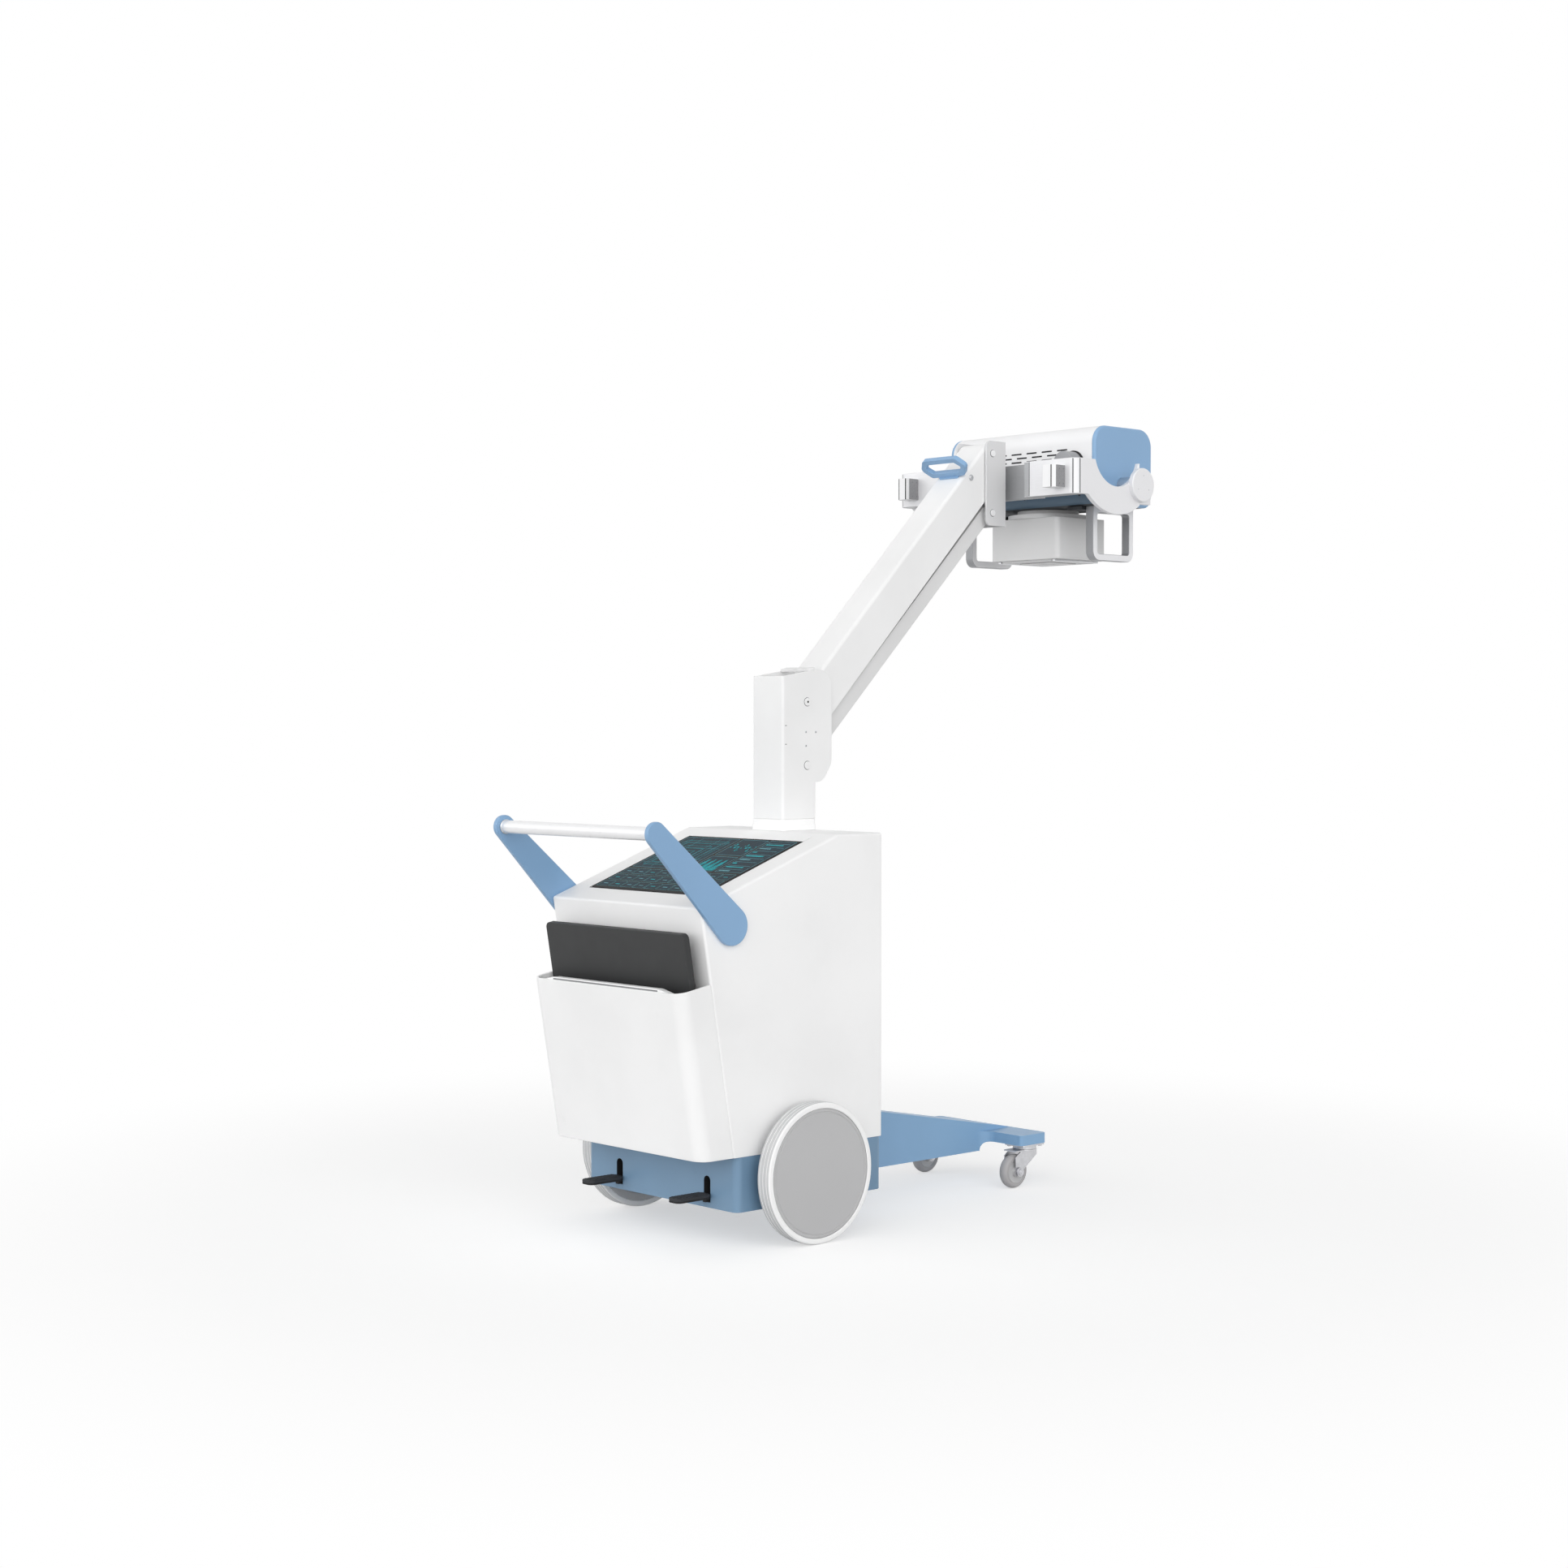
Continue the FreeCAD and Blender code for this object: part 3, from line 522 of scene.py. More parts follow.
class Finishes:
    """The machine's finishes, each made into a material the first time it is asked for."""

    SHELL = Paint("shell_white", Slot.CABINET, (248, 248, 248), roughness=0.48, coat=0.05)
    BIN = Paint("bin_white", Slot.CABINET, (247, 247, 247), roughness=0.5, coat=0.05)
    ARM = Paint("arm_paint", Slot.ARM, (241, 241, 241), roughness=0.5, grain=320.0, coat=0.04)
    HOUSING = Paint("housing_paint", Slot.HOUSING, (241, 241, 242), roughness=0.42, coat=0.06)
    # Greyer copy of the arm's white for the lower link: painted shade.
    LINK = Paint("link_paint", Slot.ARM, (222, 222, 222), roughness=0.5, coat=0.04)
    # Greyer copy of the arm's white for the end bracket: painted shade.
    BRACKET = Paint("bracket_paint", Slot.ARM, (219, 219, 220), roughness=0.42, coat=0.06)
    # Base box and front leg carry one blue paint in a darker and a lighter copy: painted shade and painted
    # light.
    BASE = Paint("base_paint", Slot.BASE, (112, 144, 172), roughness=0.45, drift=0.05)
    LEG = Paint("leg_paint", Slot.BASE, (130, 169, 205), roughness=0.45, drift=0.04)
    TRIM = Paint("trim_plastic", Slot.TRIM, (133, 171, 208), roughness=0.4, drift=0.03)
    # Darker copy of the trim blue for the tray under the head: painted shade.
    TRAY = Paint("tray_plastic", Slot.TRIM, (82, 106, 126), roughness=0.5, coat=0.05)
    FORK = Metal("fork_satin", Slot.FORK, (232, 232, 234), roughness=0.45, lines=(8.0, 0.4, 24.0),
                 metallic=0.2, contrast=0.02, scratch=0.000015)
    # Dark metal grey: painted shade on the loop handles' edge faces and on the roll bearing, and the plain
    # grey of the cable bosses.
    LOOP = Metal("loop_aluminium", Slot.FORK, (156, 157, 160), roughness=0.36, lines=(14.0, 14.0, 0.6),
                 metallic=0.3, contrast=0.03, scratch=0.000015)
    TUBE = Metal("handle_tube_steel", Slot.HANDLE, (240, 240, 241), roughness=0.3, lines=(16.0, 0.1, 16.0),
                 metallic=0.35, contrast=0.01)
    BOLT = Metal("bolt_steel", Slot.HANDLE, (206, 207, 209), roughness=0.32, lines=(1.0, 8.0, 8.0))
    ZINC = Metal("zinc_steel", Slot.CASTER_STEEL, (205, 205, 208), roughness=0.38, lines=(2.0, 2.0, 2.0))
    TYRE = Rubber("tyre_rubber", Slot.TYRE, (249, 249, 249), roughness=0.6, bloom=0.0)
    # Grey of the tyres' tread faces: painted shade on the white rubber.
    TREAD = Rubber("tread_rubber", Slot.TYRE, (202, 203, 204), roughness=0.66, bloom=0.1)
    # Darker grey inside the fork's recess: painted shade.
    RECESS = Metal("recess_steel", Slot.FORK, (176, 177, 179), roughness=0.4, lines=(8.0, 0.4, 24.0),
                   metallic=0.3, contrast=0.03)
    DISC = Paint("disc_plastic", Slot.DISC, (187, 187, 188), roughness=0.5, drift=0.02)
    CASTER = Rubber("caster_rubber", Slot.CASTER, (172, 170, 171), roughness=0.6, bloom=0.08)
    PANEL = Paint("panel_carbon", Slot.PANEL, (40, 41, 42), roughness=0.6, grain=500.0, coat=0.0)
    # Black rubber of the pedals and small screws, and of the painted shade blocks beside the loop handles.
    PAD = Rubber("pad_rubber", Slot.PAD, (34, 36, 40), bloom=0.06)
    # Mid grey of the pin washers and screws, and of the painted shade lines on the fork's wings and behind
    # the bin's bead.
    SEAM = Rubber("seam_grey", Slot.FORK, (128, 129, 131), bloom=0.05)
    PLATE = Metal("plate_grey", Slot.FORK, (148, 148, 150), roughness=0.4, lines=(4.0, 4.0, 4.0),
                  metallic=0.3)
    # Dark grey for the tray's downward faces: painted shade.
    UNDER = Rubber("tray_underside", Slot.TRIM, (66, 70, 74), bloom=0.06)
    # Near black of gaps, grooves, marks and rings, and of the vent plates, which are painted shade.
    DARK = Rubber("dark_gap", Slot.PAD, (22, 23, 25), roughness=0.8, bloom=0.03)
    GLASS = Glass("screen_pane", Slot.SCREEN, (10, 13, 16))
    COLLIMATOR = Paint("collimator_paint", Slot.COLLIMATOR, (226, 226, 226), roughness=0.6, coat=0.0)
    GLOW_LINE = Glow("display_line", Slot.SCREEN, (96, 150, 160))
    GLOW_TEAL = Glow("display_teal", Slot.SCREEN, (40, 158, 166))
    GLOW_FIELD = Glow("display_field", Slot.SCREEN, (16, 44, 56))

    _made: dict[str, bpy.types.Material] = {}

    @classmethod
    def material(cls, finish: Finish) -> bpy.types.Material:
        """Hands out a finish's material.

        Args:
            finish: Finish wanted.

        Returns:
            The material, the same one each time.
        """
        if finish.name not in cls._made:
            shade = Shade(finish.name)
            finish.dress(shade)
            cls._made[finish.name] = shade.material
        return cls._made[finish.name]


@dataclass(frozen=True)
class Patch:
    """Faces of a piece that have a finish of their own, chosen by their middle and normal: painted light or
    shade.
    """

    finish: Finish
    covers: Callable[[Vector, Vector], bool]


# Shaping


def turned(origin: Vector, axis: Axis | Vector, start: Vector | None = None) -> Matrix:
    """Placement whose Z lies along an axis.

    Args:
        origin: Where the local origin goes.
        axis: Direction of the local Z.
        start: Direction that the local X leans to, if it matters.

    Returns:
        The placement.
    """
    up = (axis.value if isinstance(axis, Axis) else axis).normalized()
    guess = start or (Axis.X.value if abs(up.x) < 0.9 else Axis.Y.value)
    across = up.cross(guess).normalized()
    ahead = across.cross(up)
    return Matrix.Translation(origin) @ Matrix((ahead, across, up)).transposed().to_4x4()


class Mould:
    """A mesh under construction, with the few operations the pieces need."""

    SEAM_GAP = 0.00002
    POLE_GAP = 0.000001
    FLAT_BELOW = math.radians(0.6)
    SMOOTH_BELOW = math.radians(38)
    NORMAL_WEIGHT = 80
    ROD_STEPS = 3
    CORNER_STEPS = 6

    def __init__(self) -> None:
        """Starts empty."""
        self.mesh = bmesh.new()

    @classmethod
    def from_node(cls, node: str) -> "Mould":
        """Merged copy of a node's mesh with its flat faces joined.

        Args:
            node: Name of the node.

        Returns:
            The copy, ready to be softened.
        """
        mould = cls()
        mould.mesh.from_mesh(frame["nodes"][node].data)
        bmesh.ops.remove_doubles(mould.mesh, verts=mould.mesh.verts, dist=cls.SEAM_GAP)
        bmesh.ops.dissolve_limit(mould.mesh, angle_limit=cls.FLAT_BELOW, use_dissolve_boundaries=False,
                                 verts=mould.mesh.verts, edges=mould.mesh.edges, delimit={"NORMAL"})
        return mould

    def rod(self, place: Matrix, radius: float, length: float, edge: float = 0.0,
            sides: int = 48) -> "Mould":
        """Adds a round bar that starts at a placement and runs along its Z.

        Args:
            place: Placement of the start.
            radius: Radius.
            length: Length.
            edge: Rounding of the far rim.
            sides: Facets round it.

        Returns:
            This mould.
        """
        made = bmesh.ops.create_cone(self.mesh, cap_ends=True, cap_tris=False, segments=sides,
                                     radius1=radius, radius2=radius, depth=length,
                                     matrix=place @ Matrix.Translation((0, 0, length / 2)))
        if edge:
            far = place @ Vector((0, 0, length))
            up = (place.to_3x3() @ Vector((0, 0, 1))).normalized()
            rim = {e for v in made["verts"] for e in v.link_edges
                   if all(abs((w.co - far).dot(up)) < self.POLE_GAP for w in e.verts)}
            self._bevel(list(rim), edge, self.ROD_STEPS)
        return self

    def block(self, place: Matrix, size: Sequence[float], edge: float = 0.0, steps: int = 2) -> "Mould":
        """Adds a box centred on a placement.

        Args:
            place: Placement of its middle.
            size: Lengths along the local axes.
            edge: Rounding of all its edges.
            steps: Facets across the rounding.

        Returns:
            This mould.
        """
        made = bmesh.ops.create_cube(self.mesh, size=1.0, matrix=place @ Matrix.Diagonal((*size, 1.0)))
        if edge:
            edges = list({e for v in made["verts"] for e in v.link_edges})
            self._bevel(edges, edge, steps)
        return self

    def plate(self, place: Matrix, size: Sequence[float], corner: float, edge: float = 0.0) -> "Mould":
        """Adds a flat plate with rounded corners, centred on a placement.

        Args:
            place: Placement of its middle.
            size: Length, width and thickness along the local axes.
            corner: Radius of the four upright corners.
            edge: Rounding of the rims.

        Returns:
            This mould.
        """
        made = bmesh.ops.create_cube(self.mesh, size=1.0, matrix=Matrix.Diagonal((*size, 1.0)))
        upright = list({e for v in made["verts"] for e in v.link_edges
                        if abs(e.verts[0].co.z - e.verts[1].co.z) > size[2] * 0.5})
        grown = self._bevel(upright, corner, self.CORNER_STEPS)
        members = [v for v in {*made["verts"], *grown["verts"]} if v.is_valid]
        if edge:
            rims = list({e for v in members for e in v.link_edges
                         if abs(e.verts[0].co.z - e.verts[1].co.z) < 1e-7 and len(e.link_faces) == 2
                         and e.calc_face_angle(0.0) > 1.0})
            grown = self._bevel(rims, edge, 2)
            members = list({v for v in members if v.is_valid} | {*grown["verts"]})
        bmesh.ops.transform(self.mesh, matrix=place, verts=members)
        return self

    def lathe(self, place: Matrix, profile: Iterable[Pair], sides: int = 96,
              closed: bool = False) -> "Mould":
        """Adds a shape turned about a placement's Z.

        Args:
            place: Placement of the axis.
            profile: Points (radius, height) in order.
            sides: Facets round it.
            closed: Whether the last point joins the first.

        Returns:
            This mould.
        """
        before = set(self.mesh.verts)
        verts = [self.mesh.verts.new((radius, 0.0, height)) for radius, height in profile]
        pairs = list(zip(verts, verts[1:])) + ([(verts[-1], verts[0])] if closed else [])
        edges = [self.mesh.edges.new(pair) for pair in pairs]
        bmesh.ops.spin(self.mesh, geom=verts + edges, cent=(0, 0, 0), axis=(0, 0, 1), dvec=(0, 0, 0),
                       angle=2 * math.pi, steps=sides, use_merge=True)
        grown = [v for v in self.mesh.verts if v not in before]
        bmesh.ops.remove_doubles(self.mesh, verts=grown, dist=self.POLE_GAP)
        grown = [v for v in grown if v.is_valid]
        faces = list({f for v in grown for f in v.link_faces})
        bmesh.ops.recalc_face_normals(self.mesh, faces=faces)
        bmesh.ops.transform(self.mesh, matrix=place, verts=grown)
        return self

    def washer(self, place: Matrix, pin: float, width: float, lap: float = 0.0004) -> "Mould":
        """Adds the thin washer that shows round a pin, on the face that the pin comes out of.

        Args:
            place: Placement of the pin's middle on that face, with Z outwards.
            pin: Radius of the pin.
            width: Width of the washer that shows.
            lap: How far it reaches into the pin and the face.

        Returns:
            This mould.
        """
        profile = [(pin - lap, -lap), (pin + width, -lap), (pin + width, lap / 2), (pin - lap, lap * 1.5)]
        return self.lathe(place, profile, 48, closed=True)

    def lining(self, place: Matrix, outline: Iterable[Pair], depth: float, wall: float) -> "Mould":
        """Adds a thin cup that lines a pocket.

        Args:
            place: Placement of the pocket's mouth, with Z into the pocket.
            outline: Points (x, y) of the pocket's outline, in order.
            depth: Depth of the cup.
            wall: Thickness of its walls.

        Returns:
            This mould.
        """
        verts = [self.mesh.verts.new((x, y, 0.0)) for x, y in outline]
        edges = [self.mesh.edges.new(pair) for pair in zip(verts, verts[1:] + verts[:1])]
        grown = bmesh.ops.extrude_edge_only(self.mesh, edges=edges)["geom"]
        far = [g for g in grown if isinstance(g, bmesh.types.BMVert)]
        bmesh.ops.translate(self.mesh, verts=far, vec=(0, 0, depth))
        rim = [g for g in grown if isinstance(g, bmesh.types.BMEdge) and all(v in far for v in g.verts)]
        faces = [g for g in grown if isinstance(g, bmesh.types.BMFace)]
        faces += bmesh.ops.contextual_create(self.mesh, geom=rim)["faces"]
        bmesh.ops.recalc_face_normals(self.mesh, faces=faces)
        walls = bmesh.ops.solidify(self.mesh, geom=faces, thickness=wall)["geom"]
        members = {v for f in faces + walls if isinstance(f, bmesh.types.BMFace) for v in f.verts}
        bmesh.ops.transform(self.mesh, matrix=place, verts=list(members))
        return self

    def soften(self, width: float, steps: int = 2, sharper_than: float = 28.0) -> "Mould":
        """Rounds every sharp edge.

        Args:
            width: Width of the rounding.
            steps: Facets across it.
            sharper_than: Least angle between two faces, in degrees.

        Returns:
            This mould.
        """
        limit = math.radians(sharper_than)
        sharp = [e for e in self.mesh.edges if e.is_manifold and e.calc_face_angle(0.0) > limit]
        self._bevel(sharp, width, steps)
        return self

    def _bevel(self, edges: list, width: float, steps: int) -> dict:
        """Rounds given edges.

        Args:
            edges: Edges to round.
            width: Width of the rounding.
            steps: Facets across it.

        Returns:
            What the operator made.
        """
        return bmesh.ops.bevel(self.mesh, geom=edges, offset=width, offset_type="OFFSET", affect="EDGES",
                               segments=steps, profile=0.5, material=-1, clamp_overlap=True)

    def piece(self, name: str, body: str, finish: Finish, patch: Patch | None = None) -> bpy.types.Object:
        """Turns the mould into a finished piece that rides on a body.

        Args:
            name: Name of the piece.
            body: Body it moves with.
            finish: Its finish.
            patch: Faces with a finish of their own.

        Returns:
            The piece.
        """
        data = bpy.data.meshes.new(name)
        self.mesh.to_mesh(data)
        self.mesh.free()
        data.materials.append(Finishes.material(finish))
        if patch:
            data.materials.append(Finishes.material(patch.finish))
            for face in data.polygons:
                face.material_index = int(patch.covers(face.center, face.normal))
        data.polygons.foreach_set("use_smooth", [True] * len(data.polygons))
        data.set_sharp_from_angle(angle=self.SMOOTH_BELOW)
        made = bpy.data.objects.new(name, data)
        bpy.context.scene.collection.objects.link(made)
        weighted = made.modifiers.new("even_normals", "WEIGHTED_NORMAL")
        weighted.keep_sharp = True
        weighted.weight = self.NORMAL_WEIGHT
        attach(made, body)
        log.info("%s: %d faces on %s", name, len(data.polygons), body)
        return made


# Sub-assemblies


class Assembly:
    """Common ground of the sub-assemblies."""

    def build(self) -> None:
        """Makes and dresses the sub-assembly's pieces."""
        raise NotImplementedError

    @staticmethod
    def middle(node: str) -> Vector:
        """Middle of a node's box."""
        low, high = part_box(node)
        return (low + high) / 2

    @staticmethod
    def dress(finish: Finish, *nodes: str) -> None:
        """Gives nodes that keep their own mesh a finish.

        Args:
            finish: Finish for them.
            nodes: Names of the nodes.
        """
        for node in nodes:
            data = frame["nodes"][node].data
            data.materials.clear()
            data.materials.append(Finishes.material(finish))
            log.info("%s: dressed", node)

    @staticmethod
    def soften(node: str, finish: Finish, width: float = 0.0012, steps: int = 2,
               patch: Patch | None = None) -> None:
        """Replaces a node with a copy whose edges are rounded.

        Args:
            node: Name of the node.
            finish: Finish of the copy.
            width: Width of the rounding.
            steps: Facets across it.
            patch: Faces with a finish of their own.
        """
        mould = Mould.from_node(node).soften(width, steps)
        made = mould.piece(f"{node}_rounded", BODY_OF[node], finish, patch)
        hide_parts(node)


@dataclass
class RearWheels(Assembly):
    """The two large wheels with their grooved tyres, discs and axle.

    The line's two numbers are its edges, in from the disc's rim. The dish has a slope at the rim and one
    at the hub, with their widths in that order. The groove's floor is a share of its width.
    """

    tyre_depth: float = 0.013
    shoulder: float = 0.005
    chamfer: float = 0.0015
    groove: float = 0.0009
    groove_floor: float = 0.4
    grooves_at: Point = (-0.010, 0.0, 0.010)
    disc_gap: float = 0.0002
    disc_set: float = 0.0015
    line: Pair = (0.009, 0.006)
    line_depth: float = 0.001
    line_slope: float = 0.0008
    dish: float = 0.008
    dish_rim: float = 0.016
    dish_slopes: Pair = (0.006, 0.008)
    hub: float = 0.032
    hub_foot: float = 0.004
    hub_edge: float = 0.002
    bore: float = 0.0126
    bore_end: float = 0.0125

    def build(self) -> None:
        """Turns each wheel."""
        for side in Side:
            self._tyre(side)
            self._disc(side)
        self.dress(Finishes.BOLT, "rear_axle")

    def _tyre(self, side: Side) -> None:
        """Tyre with round shoulders and three fine grooves in its tread, whose faces carry painted shade.

        Args:
            side: Side of the machine.
        """
        node = f"tyre_{side.label}"
        low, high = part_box(node)
        half = (high.y - low.y) / 2
        outer = (high.z - low.z) / 2
        bore = outer - self.tyre_depth
        floor = outer - self.groove
        narrow = self.groove * self.groove_floor
        profile = [(bore, -half + self.chamfer), (bore + self.chamfer, -half)]
        profile += self._shoulder(outer, -half, 1)
        for at in self.grooves_at:
            profile += [(outer, at - self.groove), (floor, at - narrow),
                        (floor, at + narrow), (outer, at + self.groove)]
        profile += self._shoulder(outer, half, -1)
        profile += [(bore + self.chamfer, half), (bore, half - self.chamfer)]
        tyre = Mould().lathe(turned(self.middle(node), Axis.Y), profile, 104, closed=True)
        # The tread faces get a grey finish: painted shade on the white tyre.
        tread = Patch(Finishes.TREAD, lambda middle, normal: abs(normal.y) < 0.5)
        made = tyre.piece(f"{node}_turned", BODY_OF[node], Finishes.TYRE, tread)
        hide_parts(node)

    def _shoulder(self, outer: float, face: float, inward: int) -> list[Pair]:
        """Quarter round between a side face and the tread.

        Args:
            outer: Radius of the tread.
            face: Height of the side face.
            inward: Sign of the way to the middle.

        Returns:
            Points (radius, height), from the side face for 1 and from the tread for -1.
        """
        points = []
        for degrees in range(0, 91, 30):
            angle = math.radians(degrees)
            points.append((outer - self.shoulder + self.shoulder * math.sin(angle),
                           face + inward * self.shoulder * (1 - math.cos(angle))))
        return points if inward > 0 else points[::-1]

    def _disc(self, side: Side) -> None:
        """Flat disc with a rim line, a dished back and its hub.

        Args:
            side: Side of the machine.
        """
        node = f"wheel_disc_{side.label}"
        low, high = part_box(node)
        tyre_low, tyre_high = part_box(f"tyre_{side.label}")
        radius = (high.z - low.z) / 2 - self.disc_gap
        width = tyre_high.y - tyre_low.y
        face = width - self.disc_set
        line_in, line_out = radius - self.line[0], radius - self.line[1]
        line_floor = face - self.line_depth
        dish_out = radius - self.dish_rim
        dish_in = self.hub + self.hub_foot
        hub_end = width - (high.y - low.y)
        bore_end = width - self.bore_end
        profile = [(0.0, face), (line_in, face), (line_in + self.line_slope, line_floor),
                   (line_out - self.line_slope, line_floor), (line_out, face), (radius - self.chamfer, face),
                   (radius, face - self.chamfer), (radius, self.chamfer), (radius - self.chamfer, 0.0),
                   (dish_out, 0.0), (dish_out - self.dish_slopes[0], self.dish),
                   (dish_in + self.dish_slopes[1], self.dish), (dish_in, 0.0), (self.hub, -self.hub_foot),
                   (self.hub, hub_end + self.hub_edge), (self.hub - self.hub_edge, hub_end),
                   (self.bore, hub_end), (self.bore, bore_end), (0.0, bore_end)]
        inner = tyre_low.y if side is Side.LEFT else tyre_high.y
        centre = self.middle(node)
        place = turned(Vector((centre.x, inner, centre.z)), side.outward)
        made = Mould().lathe(place, profile).piece(f"{node}_turned", BODY_OF[node], Finishes.DISC)
        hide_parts(node)


@dataclass
class Base(Assembly):
    """Blue base box with its slots, the two foot pedals, the front leg and its cross bar."""

    slot_w: float = 0.021
    slot_depth: float = 0.040
    slot_top: float = 0.0365
    cup_wall: float = 0.0005
    cup_gap: float = 0.0003
    cup_floor: float = 0.0004
    cup_set: float = 0.0006
    cup_short: float = 0.001
    sill_set: float = 0.0003
    sill_gap: float = 0.0006
    sill_edge: float = 0.0004
    pedal_half: float = 0.019
    ribs: int = 9
    rib: Point = (0.0042, 0.030, 0.0012)
    rib_corner: float = 0.0019
    rib_from: float = 0.011
    rib_sunk: float = 0.0002

    def build(self) -> None:
        """Makes the base, the pedals and the leg."""
        low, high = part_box("pedal_pads")
        pedals = (low.y + self.pedal_half, high.y - self.pedal_half)
        self._slot_linings(pedals, high.z + self.slot_top)
        self._slot_sills(pedals)
        # The base box gets the darker copy of the blue paint (painted shade), the front leg the lighter copy
        # (painted light).
        self.soften("base_frame", Finishes.BASE, 0.0018)
        self.soften("front_leg", Finishes.LEG, 0.0022, 3)
        self.soften("pedal_levers", Finishes.DARK, 0.0007)
        self.soften("pedal_pads", Finishes.PAD, 0.0016, 3)
        self._pedal_ribs(pedals)

    def _slot_linings(self, pedals: Pair, top: float) -> None:
        """Black cups in the two slots that the pedals come out of.

        Args:
            pedals: Y of the pedals.
            top: Height of the slots' round tops.
        """
        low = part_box("base_frame")[0]
        half = self.slot_w / 2 - self.cup_gap
        floor = low.z + self.cup_floor
        arch = top - self.slot_w / 2
        outline = [(-half, floor), (half, floor)]
        outline += [(half * math.cos(turn), arch + half * math.sin(turn))
                    for turn in map(math.radians, range(0, 181, 15))]
        cups = Mould()
        for y in pedals:
            mouth = turned(Vector((low.x + self.cup_set, y, 0)), Axis.X, Axis.Y.value)
            cups.lining(mouth, outline, self.slot_depth - self.cup_short, self.cup_wall)
        cups.piece("slot_linings", BODY_OF["base_frame"], Finishes.DARK)

    def _slot_sills(self, pedals: Pair) -> None:
        """Blue sills that fill the slots below the levers.

        Args:
            pedals: Y of the pedals.
        """
        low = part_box("base_frame")[0]
        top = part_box("pedal_levers")[0].z - self.sill_gap
        size = (self.slot_depth, self.slot_w - self.sill_edge, top - low.z)
        sills = Mould()
        for y in pedals:
            centre = Vector((low.x + self.sill_set + self.slot_depth / 2, y, (low.z + top) / 2))
            sills.block(Matrix.Translation(centre), size, self.sill_edge)
        sills.piece("slot_sills", BODY_OF["base_frame"], Finishes.BASE)

    def _pedal_ribs(self, pedals: Pair) -> None:
        """Row of rubber ribs across each pad.

        Args:
            pedals: Y of the pedals.
        """
        low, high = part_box("pedal_pads")
        pitch = (high.x - low.x - 2 * self.rib_from) / (self.ribs - 1)
        height = high.z + self.rib[2] / 2 - self.rib_sunk
        ribs = Mould()
        for y in pedals:
            for number in range(self.ribs):
                at = Vector((low.x + self.rib_from + number * pitch, y, height))
                ribs.plate(Matrix.Translation(at), self.rib, self.rib_corner)
        ribs.piece("pedal_ribs", BODY_OF["pedal_pads"], Finishes.PAD)


@dataclass
class Casters(Assembly):
    """Swivel casters under the cross bar."""

    bolt: Rod = (0.0048, 0.0035, 0.0008)
    bolt_from: float = 0.008
    bolt_reach: float = 0.023
    bolt_sunk: float = 0.004
    washer: Rod = (0.011, 0.0012, 0.0004)
    nut: Rod = (0.0085, 0.0055, 0.0012)
    thread: Rod = (0.0042, 0.0073, 0.0008)
    nut_sunk: float = 0.005
    half: float = 0.013
    bore: float = 0.00505
    hub: float = 0.012
    hub_slope: float = 0.001
    web_set: float = 0.004
    tread: float = 0.012
    tread_round: float = 0.0085
    tread_set: float = 0.001
    lip: float = 0.002
    lip_gap: float = 0.0002

    def build(self) -> None:
        """Makes the casters."""
        self.soften("caster_plates", Finishes.ZINC, 0.0008)
        self._plate_bolts()
        for side in Side:
            self.soften(f"caster_fork_{side.label}", Finishes.ZINC, 0.0006)
            self._wheel(side)
            self._axle_nuts(side)

    def _plate_bolts(self) -> None:
        """Four bolt heads under each mounting plate."""
        low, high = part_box("caster_plates")
        bolts = Mould()
        for side in Side:
            fork = self.middle(f"caster_fork_{side.label}")
            for x in (low.x + self.bolt_from, high.x - self.bolt_from):
                for reach in (-self.bolt_reach, self.bolt_reach):
                    start = Vector((x, fork.y + reach, high.z - self.bolt_sunk))
                    bolts.rod(turned(start, -Axis.Z.value), *self.bolt, 6)
        bolts.piece("caster_plate_bolts", BODY_OF["caster_plates"], Finishes.ZINC)

    def _wheel(self, side: Side) -> None:
        """Grey wheel with a rounded tread and a paler core.

        Args:
            side: Side of the machine.
        """
        node = f"caster_wheel_{side.label}"
        low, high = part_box(node)
        radius = (high.z - low.z) / 2
        hub_half = (high.y - low.y) / 2
        seat = radius - self.tread
        centre = radius - self.tread_round
        tread = [(seat, self.lip - self.half)]
        for degrees in range(-80, 81, 20):
            angle = math.radians(degrees)
            tread.append((centre + self.tread_round * math.cos(angle),
                          (self.half - self.tread_set) * math.sin(angle)))
        tread.append((seat, self.half - self.lip))
        web = self.half - self.web_set
        upper = [(seat + self.lip_gap, self.half - 1.5 * self.lip),
                 (seat - self.lip_gap, self.half - 0.75 * self.lip), (seat - self.lip, web),
                 (self.hub + self.hub_slope, web), (self.hub, hub_half), (self.bore, hub_half)]
        core = [(reach, -height) for reach, height in upper[::-1]] + upper
        place = turned(self.middle(node), Axis.Y)
        rubber = Mould().lathe(place, tread, 72, closed=True)
        made = rubber.piece(f"{node}_tread", BODY_OF[node], Finishes.CASTER)
        hub = Mould().lathe(place, core, 72, closed=True).piece(f"{node}_core", BODY_OF[node], Finishes.DISC)
        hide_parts(node)
        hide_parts(node)

    def _axle_nuts(self, side: Side) -> None:
        """Washer and hexagon nut on each end of the wheel's bolt.

        Args:
            side: Side of the machine.
        """
        low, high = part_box(f"caster_fork_{side.label}")
        centre = self.middle(f"caster_wheel_{side.label}")
        nuts = Mould()
        for y, end in ((low.y + self.nut_sunk, Side.RIGHT), (high.y - self.nut_sunk, Side.LEFT)):
            place = turned(Vector((centre.x, y, centre.z)), end.outward)
            nuts.rod(place, *self.washer, 32)
            nuts.rod(place, *self.nut, 6)
            nuts.rod(place, *self.thread, 20)
        nuts.piece(f"caster_nuts_{side.label}", BODY_OF[f"caster_fork_{side.label}"], Finishes.ZINC)


